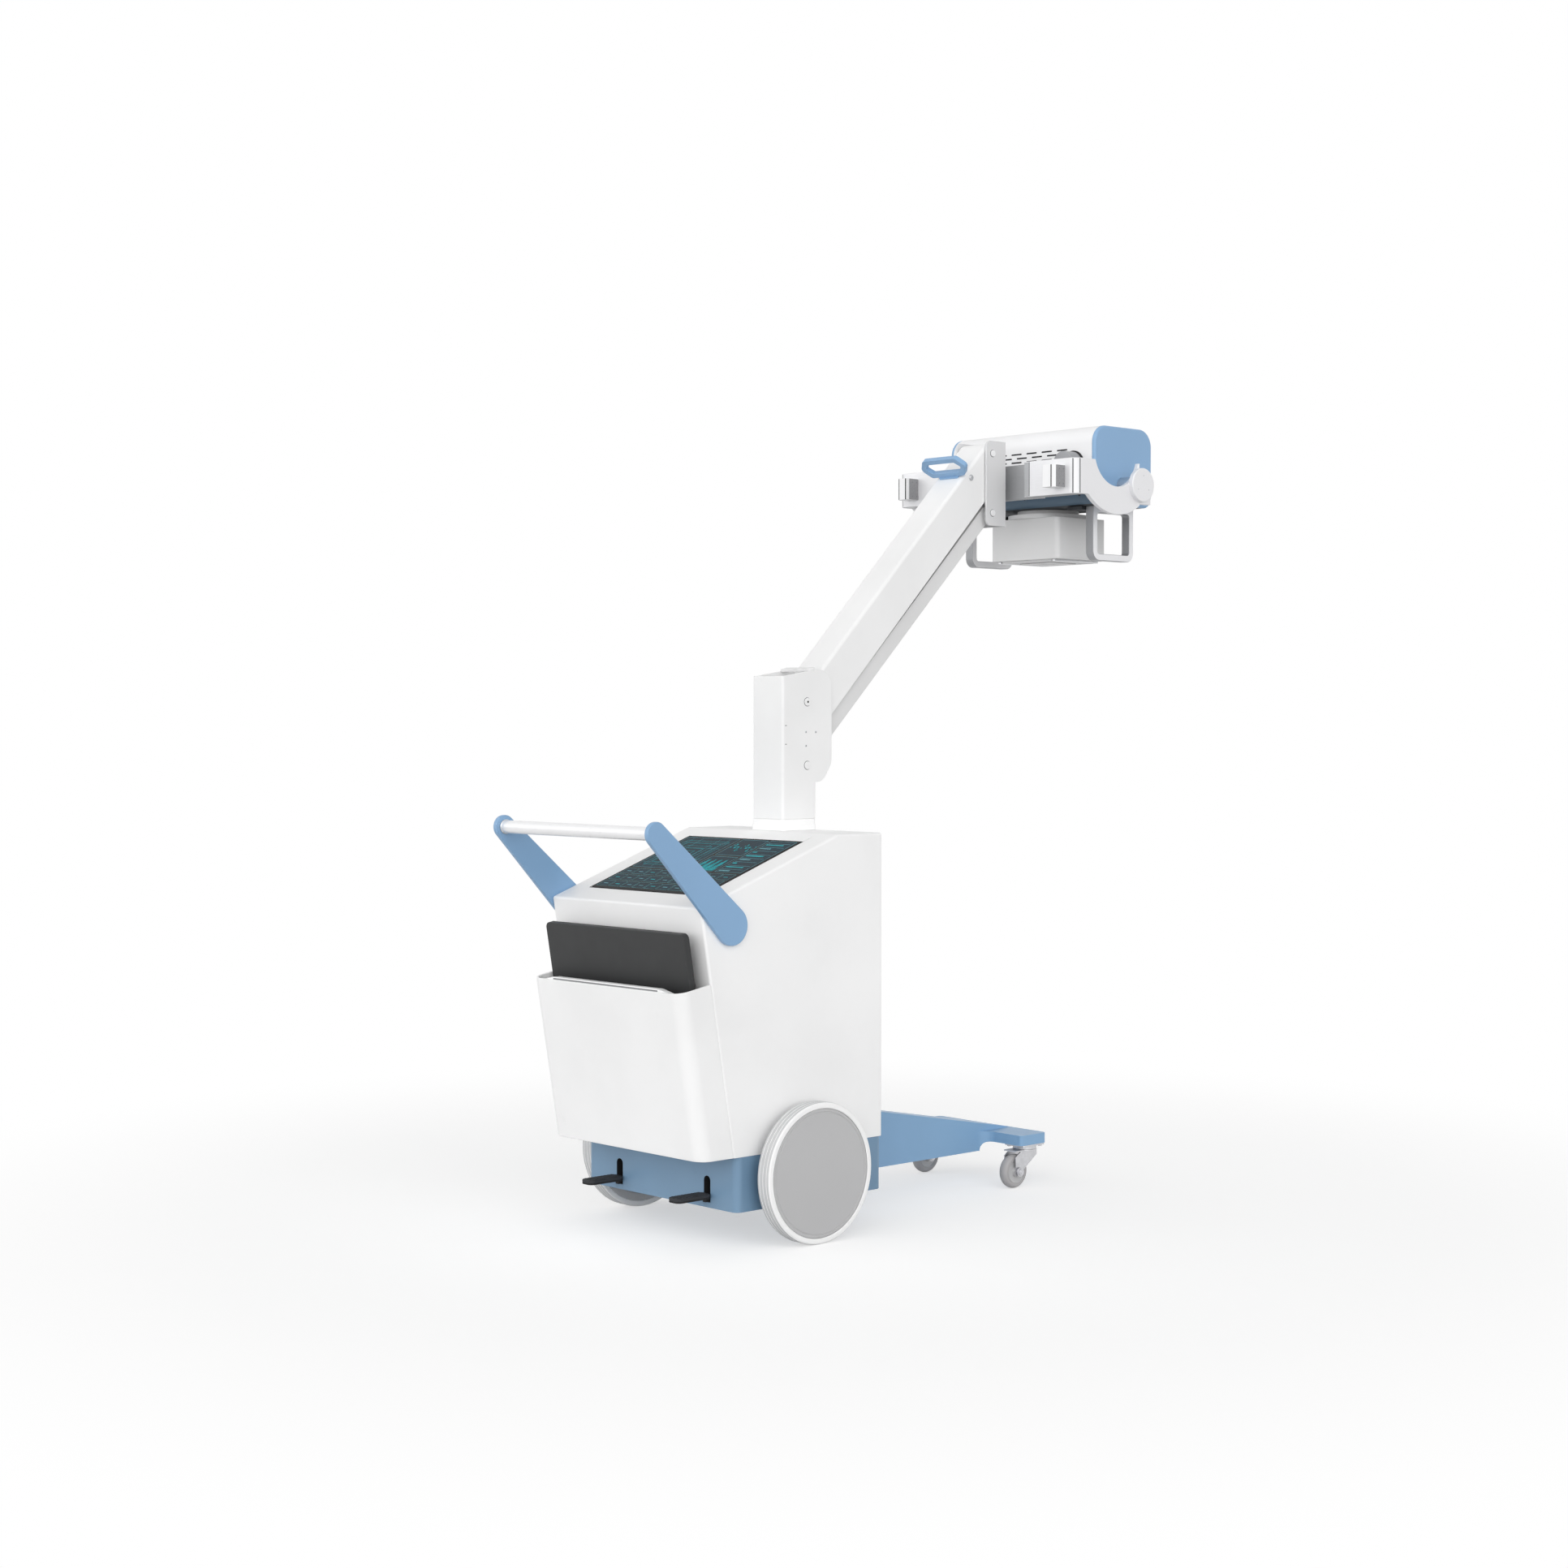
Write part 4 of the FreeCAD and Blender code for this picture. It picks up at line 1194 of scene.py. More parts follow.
@dataclass
class Cabinet(Assembly):
    """Cabinet shell with its console slope and display.

    Foot and head of the slope are X from the rear axle, and Z.
    """

    slope_foot: Pair = (-0.2805, 0.719)
    slope_head: Pair = (0.1086, 0.859)
    pane: Pair = (0.330, 0.372)
    strip: float = 0.028
    strip_h: float = 0.0012
    strip_corner: float = 0.003
    strip_edge: float = 0.0004
    strip_rise: float = 0.0002
    gasket: float = 0.002
    gasket_h: float = 0.0006
    gasket_edge: float = 0.0002
    gasket_sunk: float = 0.0008
    up_slope: float = 0.020
    rise_over: float = 0.001

    def build(self) -> None:
        """Makes the shell, the pane and the display's picture."""
        self.soften("cabinet_shell", Finishes.SHELL, 0.0014)
        self.soften("touch_screen", Finishes.GLASS, 0.0008)
        place = self._console_place()
        length, width = self.pane
        wide = width + 2 * self.gasket
        above = Matrix.Translation(((length - self.strip + self.gasket) / 2, 0, self.strip_rise))
        strip = Mould().plate(place @ above, (self.strip + self.gasket, wide, self.strip_h),
                              self.strip_corner, self.strip_edge)
        strip.piece("screen_bezel", BODY_OF["touch_screen"], Finishes.SHELL)
        gasket = Mould()
        side = (length - self.strip, self.gasket, self.gasket_h)
        beside = (width + self.gasket) / 2
        for x, y, size in ((-(length + self.gasket) / 2, 0, (self.gasket, wide, self.gasket_h)),
                           (-self.strip / 2, beside, side), (-self.strip / 2, -beside, side)):
            below = Matrix.Translation((x, y, -self.gasket_sunk))
            gasket.block(place @ below, size, self.gasket_edge)
        gasket.piece("screen_gasket", BODY_OF["cabinet_shell"], Finishes.DARK)
        Display(place).build()

    def _console_place(self) -> Matrix:
        """Placement in the middle of the pane's face, X uphill and Z out of the slope."""
        axle = self.middle("rear_axle").x
        foot = Vector((axle + self.slope_foot[0], 0, self.slope_foot[1]))
        head = Vector((axle + self.slope_head[0], 0, self.slope_head[1]))
        uphill = (head - foot).normalized()
        out = Vector((-uphill.z, 0, uphill.x))
        middle = (foot + head) / 2 + uphill * self.up_slope + out * self.rise_over
        return turned(middle, out, uphill)


@dataclass
class Display(Assembly):
    """Generic picture on the screen: fields, frames, bars and traces without any lettering.

    Places and sizes on it are metres uphill and to the left, from the middle of the pane. A key's mark
    counts from the key's lower right corner. The reach of bars and levels is a least or middle length
    and a swing, and a rule has its two edges after its bar's start, and its length.
    """

    place: Matrix
    line: float = 0.0011
    fine_line: float = 0.0009
    hair_line: float = 0.0008
    lift: float = 0.00012
    panels: tuple[Panel, ...] = ((-0.046, 0.130, 0.006, 0.178), (0.042, 0.130, -0.088, -0.004),
                                 (-0.046, 0.034, -0.088, -0.004), (-0.046, 0.130, -0.178, -0.096))
    key_rows: int = 3
    key_columns: int = 9
    keys_from: Pair = (-0.154, 0.178)
    key_pitch: Pair = (0.035, 0.0398)
    key: Pair = (0.029, 0.036)
    key_edge: float = 0.003
    key_mark: Panel = (0.012, 0.0145, 0.011, 0.025)
    plan: Pair = (0.042, 0.092)
    plan_half: Pair = (0.082, 0.080)
    plan_rings: int = 5
    ring: float = 0.014
    plan_lines: tuple[float, ...] = (-0.060, -0.030, 0.030, 0.060)
    bars: int = 8
    bars_from: Pair = (-0.040, -0.102)
    bar_pitch: float = 0.0208
    bar: float = 0.005
    bar_reach: Pair = (0.034, 0.024)
    rule: Point = (0.0095, 0.0107, 0.068)
    samples: int = 32
    sample: Pair = (0.0048, 0.0024)
    sample_gap: float = 0.0001
    trace_from: Pair = (0.086, -0.008)
    trace_swing: float = 0.020
    level_from: float = -0.042
    level_reach: Pair = (0.005, 0.055)
    level: float = 0.0015

    def build(self) -> None:
        """Lays the picture on the pane."""
        body = BODY_OF["touch_screen"]
        fields, lines, marks = Mould(), Mould(), Mould()
        for panel in self.panels:
            self._bar(fields, *panel, 0)
            self._frame(lines, *panel, self.line)
        self._keys(fields, lines, marks)
        self._plan(marks, lines)
        self._bars(marks, lines)
        self._traces(marks)
        fields.piece("display_fields", body, Finishes.GLOW_FIELD)
        lines.piece("display_lines", body, Finishes.GLOW_LINE)
        marks.piece("display_marks", body, Finishes.GLOW_TEAL)

    def _keys(self, fields: Mould, lines: Mould, marks: Mould) -> None:
        """Rows of framed keys in the lower part, each with an upright mark.

        Args:
            fields: Mould of the dark fields.
            lines: Mould of the pale lines.
            marks: Mould of the teal marks.
        """
        edge = self.key_edge
        foot, head, right, left = self.key_mark
        for row in range(self.key_rows):
            x0 = self.keys_from[0] + row * self.key_pitch[0]
            x1 = x0 + self.key[0]
            for column in range(self.key_columns):
                y1 = self.keys_from[1] - column * self.key_pitch[1]
                y0 = y1 - self.key[1]
                self._frame(lines, x0, x1, y0, y1, self.fine_line)
                self._bar(fields, x0 + edge, x1 - edge, y0 + edge, y1 - edge, 0)
                ink = marks if (row + column) % 3 == 1 else lines
                self._bar(ink, x0 + foot, x0 + head, y0 + right, y0 + left, 1)

    def _plan(self, marks: Mould, lines: Mould) -> None:
        """Nested frames and cross lines in the large left field.

        Args:
            marks: Mould of the teal marks.
            lines: Mould of the pale lines.
        """
        x, y = self.plan
        for number in range(self.plan_rings):
            half = self.ring * (number + 1)
            self._frame(marks, x - half, x + half, y - half, y + half, self.fine_line)
        long, wide = self.plan_half
        thin = self.hair_line / 2
        for reach in self.plan_lines:
            self._bar(lines, x - long, x + long, y + reach - thin, y + reach + thin, 2)
            self._bar(lines, x + reach - thin, x + reach + thin, y - wide, y + wide, 2)

    def _bars(self, marks: Mould, lines: Mould) -> None:
        """Row of bars of different lengths with rules between them, in the right-hand field.

        Args:
            marks: Mould of the teal marks.
            lines: Mould of the pale lines.
        """
        y = self.bars_from[1]
        for row in range(self.bars):
            x = self.bars_from[0] + row * self.bar_pitch
            reach = self.bar_reach[0] + self.bar_reach[1] * math.sin(row * 2.1)
            self._bar(marks if row % 3 else lines, x, x + self.bar, y - reach, y, 2)
            self._bar(lines, x + self.rule[0], x + self.rule[1], y - self.rule[2], y, 2)

    def _traces(self, marks: Mould) -> None:
        """A wavy trace and a row of level bars in the two middle fields.

        Args:
            marks: Mould of the teal marks.
        """
        half = self.sample[0] / 2
        for step in range(self.samples):
            y = self.trace_from[1] - step * self.sample[1]
            x = self.trace_from[0] + self.trace_swing * math.sin(step * 0.62) * math.cos(step * 0.21)
            self._bar(marks, x - half, x + half, y - self.sample[1] + self.sample_gap, y, 2)
            reach = self.level_reach[0] + self.level_reach[1] * abs(math.sin(step * 0.41))
            self._bar(marks, self.level_from, self.level_from + reach, y - self.level, y, 2)

    def _frame(self, mould: Mould, x0: float, x1: float, y0: float, y1: float, line: float) -> None:
        """Outline of a box.

        Args:
            mould: Mould to add to.
            x0: Lower end uphill.
            x1: Upper end uphill.
            y0: Right end.
            y1: Left end.
            line: Width of the line.
        """
        for bar in ((x0, x0 + line, y0, y1), (x1 - line, x1, y0, y1), (x0, x1, y0, y0 + line),
                    (x0, x1, y1 - line, y1)):
            self._bar(mould, *bar, 1)

    def _bar(self, mould: Mould, x0: float, x1: float, y0: float, y1: float, layer: int) -> None:
        """Thin flat bar.

        Args:
            mould: Mould to add to.
            x0: Lower end uphill.
            x1: Upper end uphill.
            y0: Right end.
            y1: Left end.
            layer: How many layers it lies over the pane.
        """
        middle = Matrix.Translation(((x0 + x1) / 2, (y0 + y1) / 2, self.lift * (layer + 0.5)))
        mould.block(self.place @ middle, (x1 - x0, y1 - y0, self.lift))


@dataclass
class DetectorBin(Assembly):
    """Bin on the cabinet's rear face with the flat detector in it."""

    rim: float = 0.546
    lip: Point = (0.016, 0.428, 0.018)
    lip_round: float = 0.0042
    lip_at: float = 0.0125
    run_out: float = 0.040
    sink: float = 0.0118
    above: float = 0.0015
    # Thickness and height of the grey strip behind the bead: a painted shadow line.
    line: Pair = (0.0008, 0.0036)

    def build(self) -> None:
        """Makes the bin with the bead along its rim, the painted shadow line behind the bead, and the
        detector.
        """
        self.soften("detector_bin", Finishes.BIN, 0.0018, 3)
        low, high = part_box("detector_bin")
        place = Matrix.Translation((low.x + self.lip_at, (low.y + high.y) / 2, self.rim + self.above))
        self._bead(place).piece("bin_lip", BODY_OF["detector_bin"], Finishes.BIN)
        # A grey strip behind the bead: painted shadow between the rim and the bead.
        behind = place @ Matrix.Translation((-self.lip[0] / 2, 0, self.line[1] / 2 - self.above))
        line = Mould().block(behind, (self.line[0], self.lip[1] - 2 * self.run_out, self.line[1]))
        line.piece("bin_lip_line", BODY_OF["detector_bin"], Finishes.SEAM)
        self.soften("detector", Finishes.PANEL, 0.0022, 3)

    def _bead(self, place: Matrix) -> Mould:
        """Makes the bead, whose ends run out into the rim.

        Args:
            place: Placement of the bead's middle.

        Returns:
            The mould that holds the bead.
        """
        bead = Mould().block(place, self.lip)
        straight = self.lip[1] / 2 - self.run_out
        for end in (-1, 1):
            parts = [*bead.mesh.verts, *bead.mesh.edges, *bead.mesh.faces]
            bmesh.ops.bisect_plane(bead.mesh, geom=parts, plane_no=Axis.Y.value,
                                   plane_co=place @ Vector((0, end * straight, 0)))
        for vert in bead.mesh.verts:
            if abs(vert.co.y - place.translation.y) > straight + self.run_out / 2:
                vert.co.z -= self.sink
        return bead.soften(self.lip_round, 4)


@dataclass
class PushHandle(Assembly):
    """Steel push tube between two blue side plates."""

    collar: Rod = (0.0158, 0.004, 0.0012)

    def build(self) -> None:
        """Makes the handle."""
        for side in Side:
            self.soften(f"handle_arm_{side.label}", Finishes.TRIM, 0.002, 3)
        self.dress(Finishes.TUBE, "handle_tube")
        low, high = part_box("handle_tube")
        centre = self.middle("handle_tube")
        collars = Mould()
        for y, inward in ((low.y, Axis.Y.value), (high.y, -Axis.Y.value)):
            collars.rod(turned(Vector((centre.x, y, centre.z)), inward), *self.collar)
        collars.piece("handle_collars", BODY_OF["handle_tube"], Finishes.BOLT)


@dataclass
class Column(Assembly):
    """Swivelling column with its stepped collar, lid, screws and seam marks.

    Screws are placed by X from the arm's pivot, and Z. The lid's ends are X from the post's rear, and Z.
    """

    face: float = 0.050
    washer: float = 0.0011
    screw: Rod = (0.0027, 0.0012, 0.0005)
    screw_sunk: float = 0.0004
    screws_at: tuple[Pair, ...] = ((-0.0043, 1.0773), (0.0256, 1.0772), (-0.0043, 1.0466))
    socket: Rod = (0.0012, 0.0014, 0.0)
    pin_socket: Rod = (0.0026, 0.0009, 0.0)
    pin_socket_sunk: float = 0.0006
    mark: Point = (0.005, 0.0006, 0.0012)
    mark_x: float = 0.0095
    marks_z: Pair = (1.0918, 1.0504)
    lid_rear: Pair = (0.081, 1.2150)
    lid_front: Pair = (0.101, 1.2195)
    lid_w: float = 0.0915
    lid_h: float = 0.006
    lid_edge: float = 0.0012

    def build(self) -> None:
        """Makes the column."""
        self.soften("column_post", Finishes.ARM, 0.0016, 3)
        self.soften("column_collar", Finishes.SHELL, 0.001)
        self.soften("column_pins", Finishes.ARM, 0.0009, 3)
        self._cheek_details()
        self._lid()

    def _cheek_details(self) -> None:
        """Washers of the pins, hexagon socket screws and the seam's tick marks on both cheeks."""
        body = BODY_OF["column_post"]
        low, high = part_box("column_pins")
        pivot_x = (low.x + high.x) / 2
        radius = (high.x - low.x) / 2
        upper, lower = high.z - radius, low.z + radius
        screws, sockets, washers = Mould(), Mould(), Mould()
        for side in Side:
            for x, z in self.screws_at:
                start = Vector((pivot_x + x, side.value * (self.face - self.screw_sunk), z))
                screws.rod(turned(start, side.outward), *self.screw, 20)
                sockets.rod(turned(start, side.outward), *self.socket, 6)
            pin_face = high.y if side is Side.LEFT else low.y
            start = Vector((pivot_x, pin_face - side.value * self.pin_socket_sunk, upper))
            sockets.rod(turned(start, side.outward), *self.pin_socket, 6)
            for z in (upper, lower):
                place = turned(Vector((pivot_x, side.value * self.face, z)), side.outward)
                washers.washer(place, radius, self.washer)
        washers.piece("column_pin_washers", body, Finishes.SEAM)
        mark_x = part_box("column_post")[0].x + self.mark_x
        for side in reversed(Side):
            for z in self.marks_z:
                sockets.block(Matrix.Translation((mark_x, side.value * self.face, z)), self.mark)
        screws.piece("column_screws", body, Finishes.BOLT)
        sockets.piece("column_marks", body, Finishes.DARK)

    def _lid(self) -> None:
        """Small sloping lid between the tops of the cheeks."""
        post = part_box("column_post")[0].x
        rear = Vector((post + self.lid_rear[0], 0, self.lid_rear[1]))
        front = Vector((post + self.lid_front[0], 0, self.lid_front[1]))
        along = front - rear
        place = turned((rear + front) / 2, Vector((-along.z, 0, along.x)), along)
        lid = Mould().block(place, (along.length, self.lid_w, self.lid_h), self.lid_edge)
        lid.piece("column_lid", BODY_OF["column_post"], Finishes.ARM)


@dataclass
class LiftArm(Assembly):
    """Parallelogram arm with its lower link, grab ring and side bolts."""

    rise: float = math.radians(44.45)
    pivot_z: float = 1.1444
    bolt_along: float = 0.7567
    bolt_over: float = 0.003
    bolt_sunk: float = 0.0003
    flange: Rod = (0.0075, 0.0012, 0.0004)
    bolt: Rod = (0.0055, 0.0042, 0.0012)

    def build(self) -> None:
        """Makes the arm."""
        self.soften("arm_beam", Finishes.ARM, 0.0014)
        # The lower link gets the greyer copy of the arm's white: painted shade.
        self.soften("lower_link", Finishes.LINK, 0.002)
        self.soften("grab_ring", Finishes.TRIM, 0.003, 3)
        pivot = Vector((self.middle("column_pins").x, 0, self.pivot_z))
        along = Vector((math.cos(self.rise), 0, math.sin(self.rise)))
        over = Vector((-along.z, 0, along.x))
        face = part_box("arm_beam")[1].y - self.bolt_sunk
        bolts = Mould()
        for side in Side:
            at = pivot + along * self.bolt_along + over * self.bolt_over + side.outward * face
            bolts.rod(turned(at, side.outward), *self.flange, 32)
            bolts.rod(turned(at, side.outward), *self.bolt, 24)
        bolts.piece("arm_bolts", BODY_OF["arm_beam"], Finishes.BOLT)


@dataclass
class EndBracket(Assembly):
    """Bracket at the arm's end with its pins and the roll bearing."""

    washer: float = 0.0013

    def build(self) -> None:
        """Makes the bracket."""
        # The bracket gets the greyer copy of the arm's white: painted shade.
        self.soften("end_bracket", Finishes.BRACKET, 0.0018, 3)
        self.soften("tip_pins", Finishes.HOUSING, 0.0012, 3)
        # The roll bearing gets the dark metal grey: painted shade in the fork's recess.
        self.soften("roll_bearing", Finishes.LOOP, 0.001)
        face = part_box("end_bracket")[1].y
        low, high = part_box("tip_pins")
        radius = (high.x - low.x) / 2
        rings = Mould()
        for side in Side:
            for z in (low.z + radius, high.z - radius):
                at = Vector(((low.x + high.x) / 2, face * side.value, z))
                rings.washer(turned(at, side.outward), radius, self.washer)
        rings.piece("tip_pin_washers", BODY_OF["tip_pins"], Finishes.SEAM)


@dataclass
class HeadFork(Assembly):
    """Fork round the tube head, with release blocks and lock knobs.

    The wings reach below and above the roll axis. A cheek, a grey plate of painted shade in the recess, has a
    width and a thickness. The left block's inner groove has an inset from the rear face's edge and a width.
    Screws sit in from the front face.
    """

    corner: float = 0.022
    wing: Pair = (0.0366, 0.0465)
    # Width, height and rounding of each dark line of painted shade on the wing's corner.
    seam: Strip = (0.0034, 0.0007, 0.0002)
    seam_turns: Pair = (30.0, 75.0)
    seam_sunk: float = 0.0002
    seam_short: float = 0.003
    recess: float = 0.1295
    cheek: Pair = (0.0150, 0.0006)
    cheek_sunk: float = 0.0001
    cheek_line: Strip = (0.00238, 0.0008, 0.0002)
    block: float = 0.035
    bevel: float = 0.008
    groove: float = 0.0024
    groove_h: float = 0.001
    groove_short: float = 0.0006
    groove_sunk: float = 0.0002
    groove_edge: float = 0.0002
    groove_lean: float = 0.3
    inner_groove: Pair = (0.0034, 0.0046)
    plate_short: Pair = (0.0008, 0.001)
    plate_h: float = 0.0008
    plate_corner: float = 0.0012
    screw: Rod = (0.0017, 0.0009, 0.0002)
    screws_x: Pair = (0.0202, 0.0058)
    screws_z: float = 0.0172
    knob_screw: Rod = (0.0018, 0.0008, 0.0003)
    knob_screw_circle: float = 0.022
    knob_screw_sunk: float = 0.0003

    def build(self) -> None:
        """Makes the fork."""
        # Faces inside the recess that don't face forward get the darker grey: painted shade.
        recess = Patch(Finishes.RECESS, lambda middle, normal: abs(middle.y) < self.recess and normal.x < 0.5)
        self.soften("head_fork", Finishes.FORK, patch=recess)
        self.soften("release_blocks", Finishes.HOUSING, 0.0008)
        self.soften("lock_knobs", Finishes.FORK, 0.0008)
        self._wing_details()
        self._block_details()
        self._knob_screws()

    def _wing_details(self) -> None:
        """Painted shade: fine dark upright lines round each wing's outer rear corner and along each cheek,
        and the grey cheeks of the recess.
        """
        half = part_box("head_fork")[1].y
        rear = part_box("release_blocks")[1].x
        roll_z = self.middle("roll_bearing").z
        bottom, top = roll_z - self.wing[0], roll_z + self.wing[1]
        tall = top - bottom - self.seam_short
        middle_z = (bottom + top) / 2
        shade_lines, cheeks = Mould(), Mould()
        for side in Side:
            # Two dark lines on the wing's rounded corner: painted shade.
            for turn in self.seam_turns:
                angle = math.radians(turn)
                out = Vector((-math.cos(angle), side.value * math.sin(angle), 0))
                centre = Vector((rear + self.corner, side.value * (half - self.corner), middle_z))
                place = turned(centre + out * (self.corner - self.seam_sunk), out, Axis.Z.value)
                shade_lines.block(place, (tall, *self.seam[:2]), self.seam[2])
        # Grey cheek plates at the recess's edges: painted shade.
        wide, thick = self.cheek
        for side in Side:
            at = Vector((rear - self.cheek_sunk, side.value * (self.recess + wide / 2), middle_z))
            cheeks.plate(turned(at, -Axis.X.value, Axis.Z.value), (tall, wide, thick), thick)
            # A dark line along the cheek's outer edge: painted shade at the recess's step.
            at.y = side.value * (self.recess + wide)
            place = turned(at, -Axis.X.value, Axis.Z.value)
            shade_lines.block(place, (tall, *self.cheek_line[:2]), self.cheek_line[2])
        shade_lines.piece("wing_seams", BODY_OF["head_fork"], Finishes.SEAM)
        cheeks.piece("recess_cheeks", BODY_OF["head_fork"], Finishes.RECESS)

    def _block_details(self) -> None:
        """Parting grooves, side plates and plate screws of the release blocks.

        The left block has them on both sides, and its inner face has no bevel.
        """
        low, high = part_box("release_blocks")
        middle_z = (low.z + high.z) / 2
        tall = high.z - low.z
        run = high.x - low.x - self.bevel
        grooves, plates, screws = Mould(), Mould(), Mould()
        faces = ((low.y, -1, self.bevel, self.groove), (high.y, 1, self.bevel, self.groove),
                 (high.y - self.block, -1, *self.inner_groove))
        for y, outward, inset, wide in faces:
            out = Axis.Y.value * outward
            start = Vector((low.x + self.groove_sunk, y - outward * inset, middle_z))
            lean = Vector((-1.0, self.groove_lean * outward, 0))
            grooves.block(turned(start, lean, Axis.Z.value),
                          (tall - self.groove_short, wide, self.groove_h), self.groove_edge)
            at = Vector((low.x + self.bevel + run / 2, y, middle_z))
            size = (run - self.plate_short[0], tall - self.plate_short[1], self.plate_h)
            plates.plate(turned(at, out, Axis.X.value), size, self.plate_corner)
            for x in (high.x - back for back in self.screws_x):
                for z in (middle_z - self.screws_z, middle_z + self.screws_z):
                    screws.rod(turned(Vector((x, y, z)), out), *self.screw, 14)
        body = BODY_OF["release_blocks"]
        grooves.piece("release_grooves", body, Finishes.DARK)
        plates.piece("release_plates", body, Finishes.PLATE)
        screws.piece("release_screws", body, Finishes.SEAM)

    def _knob_screws(self) -> None:
        """Three small screws in the face of each lock knob."""
        low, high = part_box("lock_knobs")
        centre = self.middle("lock_knobs")
        screws = Mould()
        for side in Side:
            face = high.y if side is Side.LEFT else low.y
            for turn in (90, 210, 330):
                angle = math.radians(turn)
                at = Vector((centre.x + self.knob_screw_circle * math.cos(angle),
                             face - side.value * self.knob_screw_sunk,
                             centre.z + self.knob_screw_circle * math.sin(angle)))
                screws.rod(turned(at, side.outward), *self.knob_screw, 14)
        screws.piece("knob_screws", BODY_OF["lock_knobs"], Finishes.BOLT)


@dataclass
class TubeHead(Assembly):
    """Tube housing with vents, end caps, tray, loop handles and cable bosses."""

    # Size, rounding and inset from the loop's ends of the black blocks of painted shade under the tray.
    mount: Point = (0.050, 0.046, 0.009)
    mount_edge: float = 0.0015
    mount_from: float = 0.011
    ring_foot: float = 0.003
    ring_edge: float = 0.0015
    ring_h: float = 0.005
    ring_lap: float = 0.001
    dash: Point = (0.0325, 0.0034, 0.0008)
    dash_round: float = 0.49
    dash_proud: float = 0.0001
    dash_pitch: float = 0.0487
    dash_rows: tuple[tuple[float, float, int], ...] = ((1.7502, 0.0787, 5), (1.7402, 0.0617, 4),
                                                       (1.7304, 0.0787, 5))
    tray_screw: Rod = (0.003, 0.0016, 0.0006)
    tray_screw_sunk: float = 0.0002
    tray_screws_y: Point = (-0.187, -0.0127, 0.162)
    tray_screws_z: float = 1.6405

    def build(self) -> None:
        """Makes the tube head."""
        # The tray gets the darker blue and its downward faces a dark grey: painted shade under the head.
        under = Patch(Finishes.UNDER, lambda middle, normal: normal.z < -0.9)
        # The loop handles' side faces get the pale fork finish (painted light), their other faces the dark
        # grey (painted shade).
        lit_loop_side = Patch(Finishes.FORK, lambda middle, normal: abs(normal.y) > 0.9)
        self.soften("tube_cover", Finishes.HOUSING)
        self.soften("tube_tray", Finishes.TRAY, patch=under)
        self.soften("end_caps", Finishes.TRIM, 0.001)
        self.soften("tilt_trunnions", Finishes.BOLT, 0.0008)
        self.soften("cable_bosses", Finishes.LOOP, 0.002, 3)
        self._boss_rings()
        for side in Side:
            self.soften(f"loop_handle_{side.label}", Finishes.LOOP, 0.0022, 3, lit_loop_side)
        self._loop_mounts()
        self._vents()
        self._tray_screws()

    def _loop_mounts(self) -> None:
        """Black blocks between the tray and the inner faces of the loop handles: painted shade."""
        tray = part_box("tube_tray")[0].z
        gap_shades = Mould()
        for side in Side:
            low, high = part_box(f"loop_handle_{side.label}")
            inner = low.y if side is Side.LEFT else high.y
            y = inner - side.value * self.mount[1] / 2
            for x in (low.x + self.mount_from, high.x - self.mount_from):
                centre = Vector((x, y, tray - self.mount[2] / 2))
                gap_shades.block(Matrix.Translation(centre), self.mount, self.mount_edge)
        # Black blocks: painted shade in the gap under the tray.
        gap_shades.piece("loop_mounts", BODY_OF["tube_tray"], Finishes.PAD)

    def _boss_rings(self) -> None:
        """Dark ring round the foot of each cable boss."""
        low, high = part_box("cable_bosses")
        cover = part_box("tube_cover")[0].x
        radius = (high.z - low.z) / 2
        inner, outer = radius - self.ring_lap, radius + self.ring_foot
        profile = [(inner, 0.0), (outer, 0.0), (outer, self.ring_foot),
                   (radius + self.ring_edge, self.ring_h), (inner, self.ring_h)]
        rings = Mould()
        for y in (low.y + radius, high.y - radius):
            foot = turned(Vector((cover, y, (low.z + high.z) / 2)), -Axis.X.value)
            rings.lathe(foot, profile, 64, closed=True)
        rings.piece("boss_rings", BODY_OF["cable_bosses"], Finishes.DARK)

    def _vents(self) -> None:
        """Three rows of short dark plates on the housing's rear face: painted shade that stands for slots.

        A row holds its height, the left end of its first slot and how many slots it has.
        """
        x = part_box("tube_cover")[0].x - self.dash_proud
        slots = Mould()
        for z, first, count in self.dash_rows:
            for number in range(count):
                y = first - number * self.dash_pitch - self.dash[0] / 2
                place = turned(Vector((x, y, z)), -Axis.X.value, Axis.Y.value)
                slots.plate(place, self.dash, self.dash[1] * self.dash_round)
        # Dark plates in place of slots: painted shade.
        slots.piece("tube_vents", BODY_OF["tube_cover"], Finishes.DARK)

    def _tray_screws(self) -> None:
        """Small screws along the tray's rear face."""
        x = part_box("tube_tray")[0].x + self.tray_screw_sunk
        screws = Mould()
        for y in self.tray_screws_y:
            place = turned(Vector((x, y, self.tray_screws_z)), -Axis.X.value)
            screws.rod(place, *self.tray_screw, 20)
        screws.piece("tray_screws", BODY_OF["tube_tray"], Finishes.PAD)


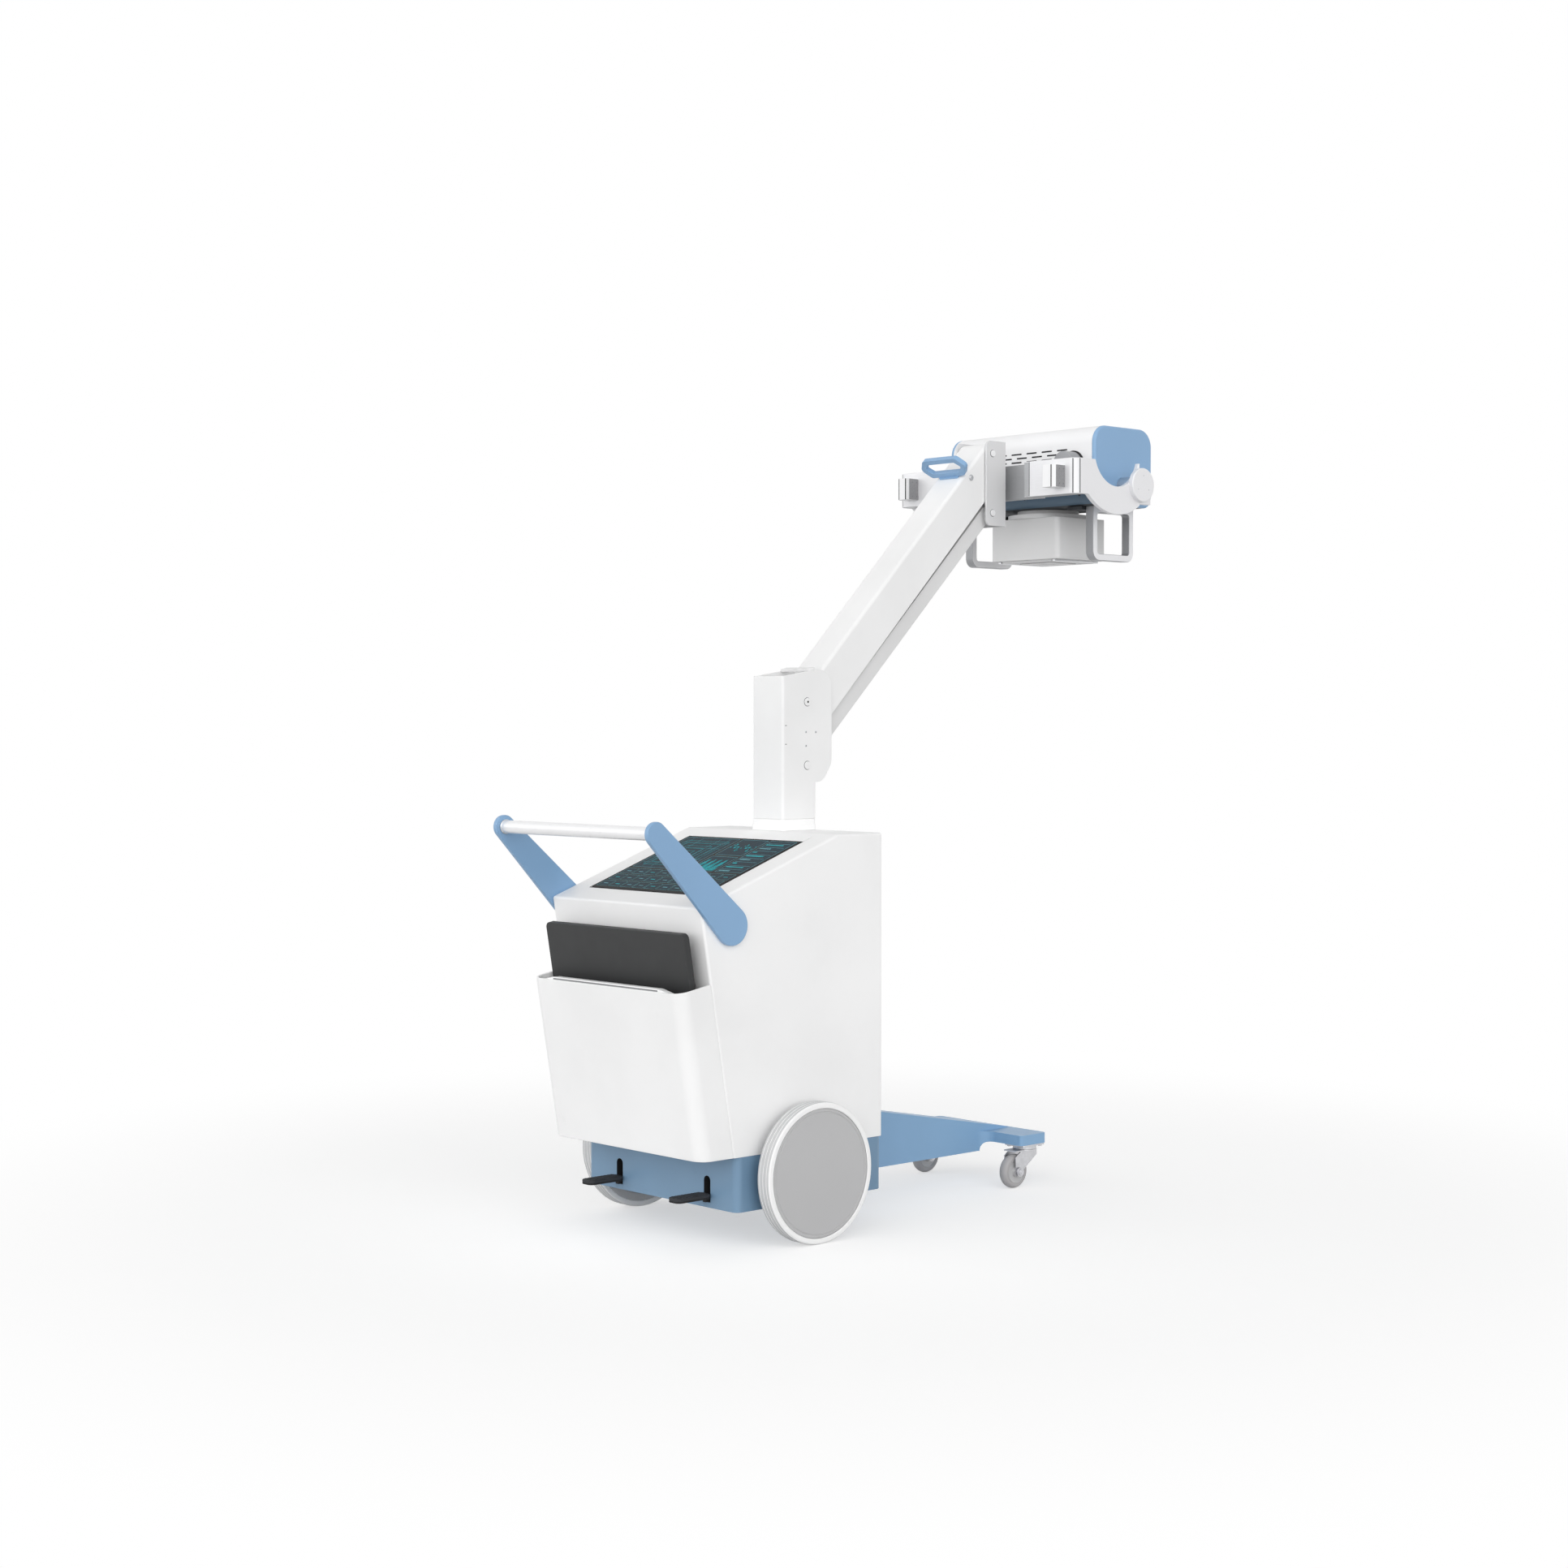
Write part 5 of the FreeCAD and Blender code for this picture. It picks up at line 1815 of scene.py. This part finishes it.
@dataclass
class Collimator(Assembly):
    """Collimator with its neck, accessory rails and light window."""

    window: Point = (0.100, 0.100, 0.0016)
    window_corner: float = 0.006
    window_edge: float = 0.0004
    cross: Point = (0.094, 0.0006, 0.0004)
    cross_below: float = 0.0009

    def build(self) -> None:
        """Makes the collimator."""
        self.soften("collimator_body", Finishes.COLLIMATOR, 0.0016)
        self.dress(Finishes.COLLIMATOR, "collimator_neck")
        self.soften("accessory_rails", Finishes.BOLT, 0.0006)
        middle = self.middle("collimator_body")
        middle.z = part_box("collimator_body")[0].z
        body = BODY_OF["collimator_body"]
        pane = Mould().plate(Matrix.Translation(middle), self.window, self.window_corner, self.window_edge)
        pane.piece("light_window", body, Finishes.GLASS)
        middle.z -= self.cross_below
        length, line, thick = self.cross
        cross = Mould()
        for size in ((length, line, thick), (line, length, thick)):
            cross.block(Matrix.Translation(middle), size)
        cross.piece("window_cross", body, Finishes.BOLT)


# Studio


@dataclass(frozen=True)
class Lamp:
    """Very soft sun, as even over the machine as a studio's light wall.

    It holds its name, the direction to it, its width as an angle in degrees, and its strength.
    """

    name: str
    toward: Point
    spread: float
    strength: float

    def build(self) -> None:
        """Hangs the lamp."""
        light = bpy.data.lights.new(self.name, "SUN")
        light.angle = math.radians(self.spread)
        light.energy = self.strength
        lamp = bpy.data.objects.new(self.name, light)
        bpy.context.scene.collection.objects.link(lamp)
        lamp.rotation_mode = "QUATERNION"
        lamp.rotation_quaternion = Vector(self.toward).to_track_quat("Z", "Y")


@dataclass(frozen=True)
class Studio:
    """Camera, floor and light."""

    back: float = 3.7064
    aside: float = 4.1973
    height: float = 1.1048
    heading: float = 47.2
    pitch: float = -1.438
    lens: float = 58.83
    sensor: float = 36.0
    floor: float = 30.0
    floor_grey: float = 0.64
    floor_glow: float = 0.49
    far_light: float = 0.42
    fade: Pair = (1.2, 2.6)
    horizon: float = 1.10
    zenith: float = 0.2
    climb: float = 0.9
    lamps: tuple[Lamp, ...] = (Lamp("key", (-0.42, -0.74, 0.32), 70.0, 1.35),
                               Lamp("fill", (-0.92, 0.20, 0.26), 90.0, 1.14))

    def build(self) -> None:
        """Sets up the studio."""
        self._camera()
        self._floor()
        self._world()
        for lamp in self.lamps:
            lamp.build()
        bpy.context.scene.view_settings.view_transform = "Standard"

    def _camera(self) -> None:
        """Camera at the photograph's viewing angle."""
        axle = Assembly.middle("rear_axle").x
        camera = bpy.data.cameras.new("view")
        camera.lens = self.lens
        camera.sensor_width = self.sensor
        holder = bpy.data.objects.new("view", camera)
        bpy.context.scene.collection.objects.link(holder)
        heading, pitch = math.radians(self.heading), math.radians(self.pitch)
        ahead = Vector((math.cos(heading) * math.cos(pitch), math.sin(heading) * math.cos(pitch),
                        math.sin(pitch)))
        holder.location = (axle - self.back, -self.aside, self.height)
        holder.rotation_mode = "QUATERNION"
        holder.rotation_quaternion = ahead.to_track_quat("-Z", "Y")
        bpy.context.scene.camera = holder

    def _floor(self) -> None:
        """Plain pale floor that shows white where no shadow falls."""
        mesh = bmesh.new()
        bmesh.ops.create_circle(mesh, cap_ends=True, segments=96, radius=self.floor)
        data = bpy.data.meshes.new("floor")
        mesh.to_mesh(data)
        mesh.free()
        data.materials.append(self._floor_material())
        floor = bpy.data.objects.new("floor", data)
        bpy.context.scene.collection.objects.link(floor)

    def _floor_material(self) -> bpy.types.Material:
        """Makes the floor's material, which takes the shadow near the machine and glows white far off.

        Returns:
            The material.
        """
        grey = (self.floor_grey, self.floor_grey, self.floor_grey, 1.0)
        white = (1.0, 1.0, 1.0, 1.0)
        shade = Shade("floor_white")
        shade.fix(Roughness=1.0, Specular_IOR_Level=0.0)
        shade.feed(shade.surface.inputs["Base Color"], grey)
        seen = shade.seen()
        glow = shade.node("ShaderNodeEmission", {}, {"Color": white, "Strength": seen * self.floor_glow})
        near = shade.node("ShaderNodeAddShader", {}, {0: shade.surface.outputs[0], 1: glow.outputs[0]})
        level = self.far_light + seen * (1.0 - self.far_light)
        far = shade.node("ShaderNodeEmission", {}, {"Color": white, "Strength": level})
        where = shade.node("ShaderNodeTexCoord", {}, {})
        reach = shade.node("ShaderNodeVectorMath", {"operation": "LENGTH"}, {0: where.outputs["Object"]})
        share = Value(shade, reach.outputs["Value"]).between(*self.fade)
        mixed = shade.node("ShaderNodeMixShader", {}, {0: share, 1: near.outputs[0], 2: far.outputs[0]})
        shade.feed(shade.output.inputs["Surface"], mixed.outputs[0])
        return shade.material

    def _world(self) -> None:
        """White surroundings for the camera and a plain level of light for the machine."""
        world = bpy.data.worlds.new("studio")
        world.use_nodes = True
        bpy.context.scene.world = world
        nodes = Nodes(world.node_tree)
        background = world.node_tree.nodes["Background"]
        seen = nodes.seen()
        where = nodes.node("ShaderNodeTexCoord", {}, {})
        split = nodes.node("ShaderNodeSeparateXYZ", {}, {0: where.outputs["Generated"]})
        climb = Value(nodes, split.outputs["Z"]).between(0.0, self.climb)
        level = self.horizon - climb * (self.horizon - self.zenith)
        nodes.feed(background.inputs["Color"], (1.0, 1.0, 1.0, 1.0))
        nodes.feed(background.inputs["Strength"], level + seen * (1.0 - level))


def main() -> None:
    """Builds the studio and the machine."""
    logging.basicConfig(level=logging.INFO, format="%(name)s: %(message)s")
    Studio().build()
    for assembly in (RearWheels(), Base(), Casters(), Cabinet(), DetectorBin(), PushHandle(), Column(),
                     LiftArm(), EndBracket(), HeadFork(), TubeHead(), Collimator()):
        log.info("building %s", type(assembly).__name__)
        assembly.build()


if __name__ == "__main__":
    main()
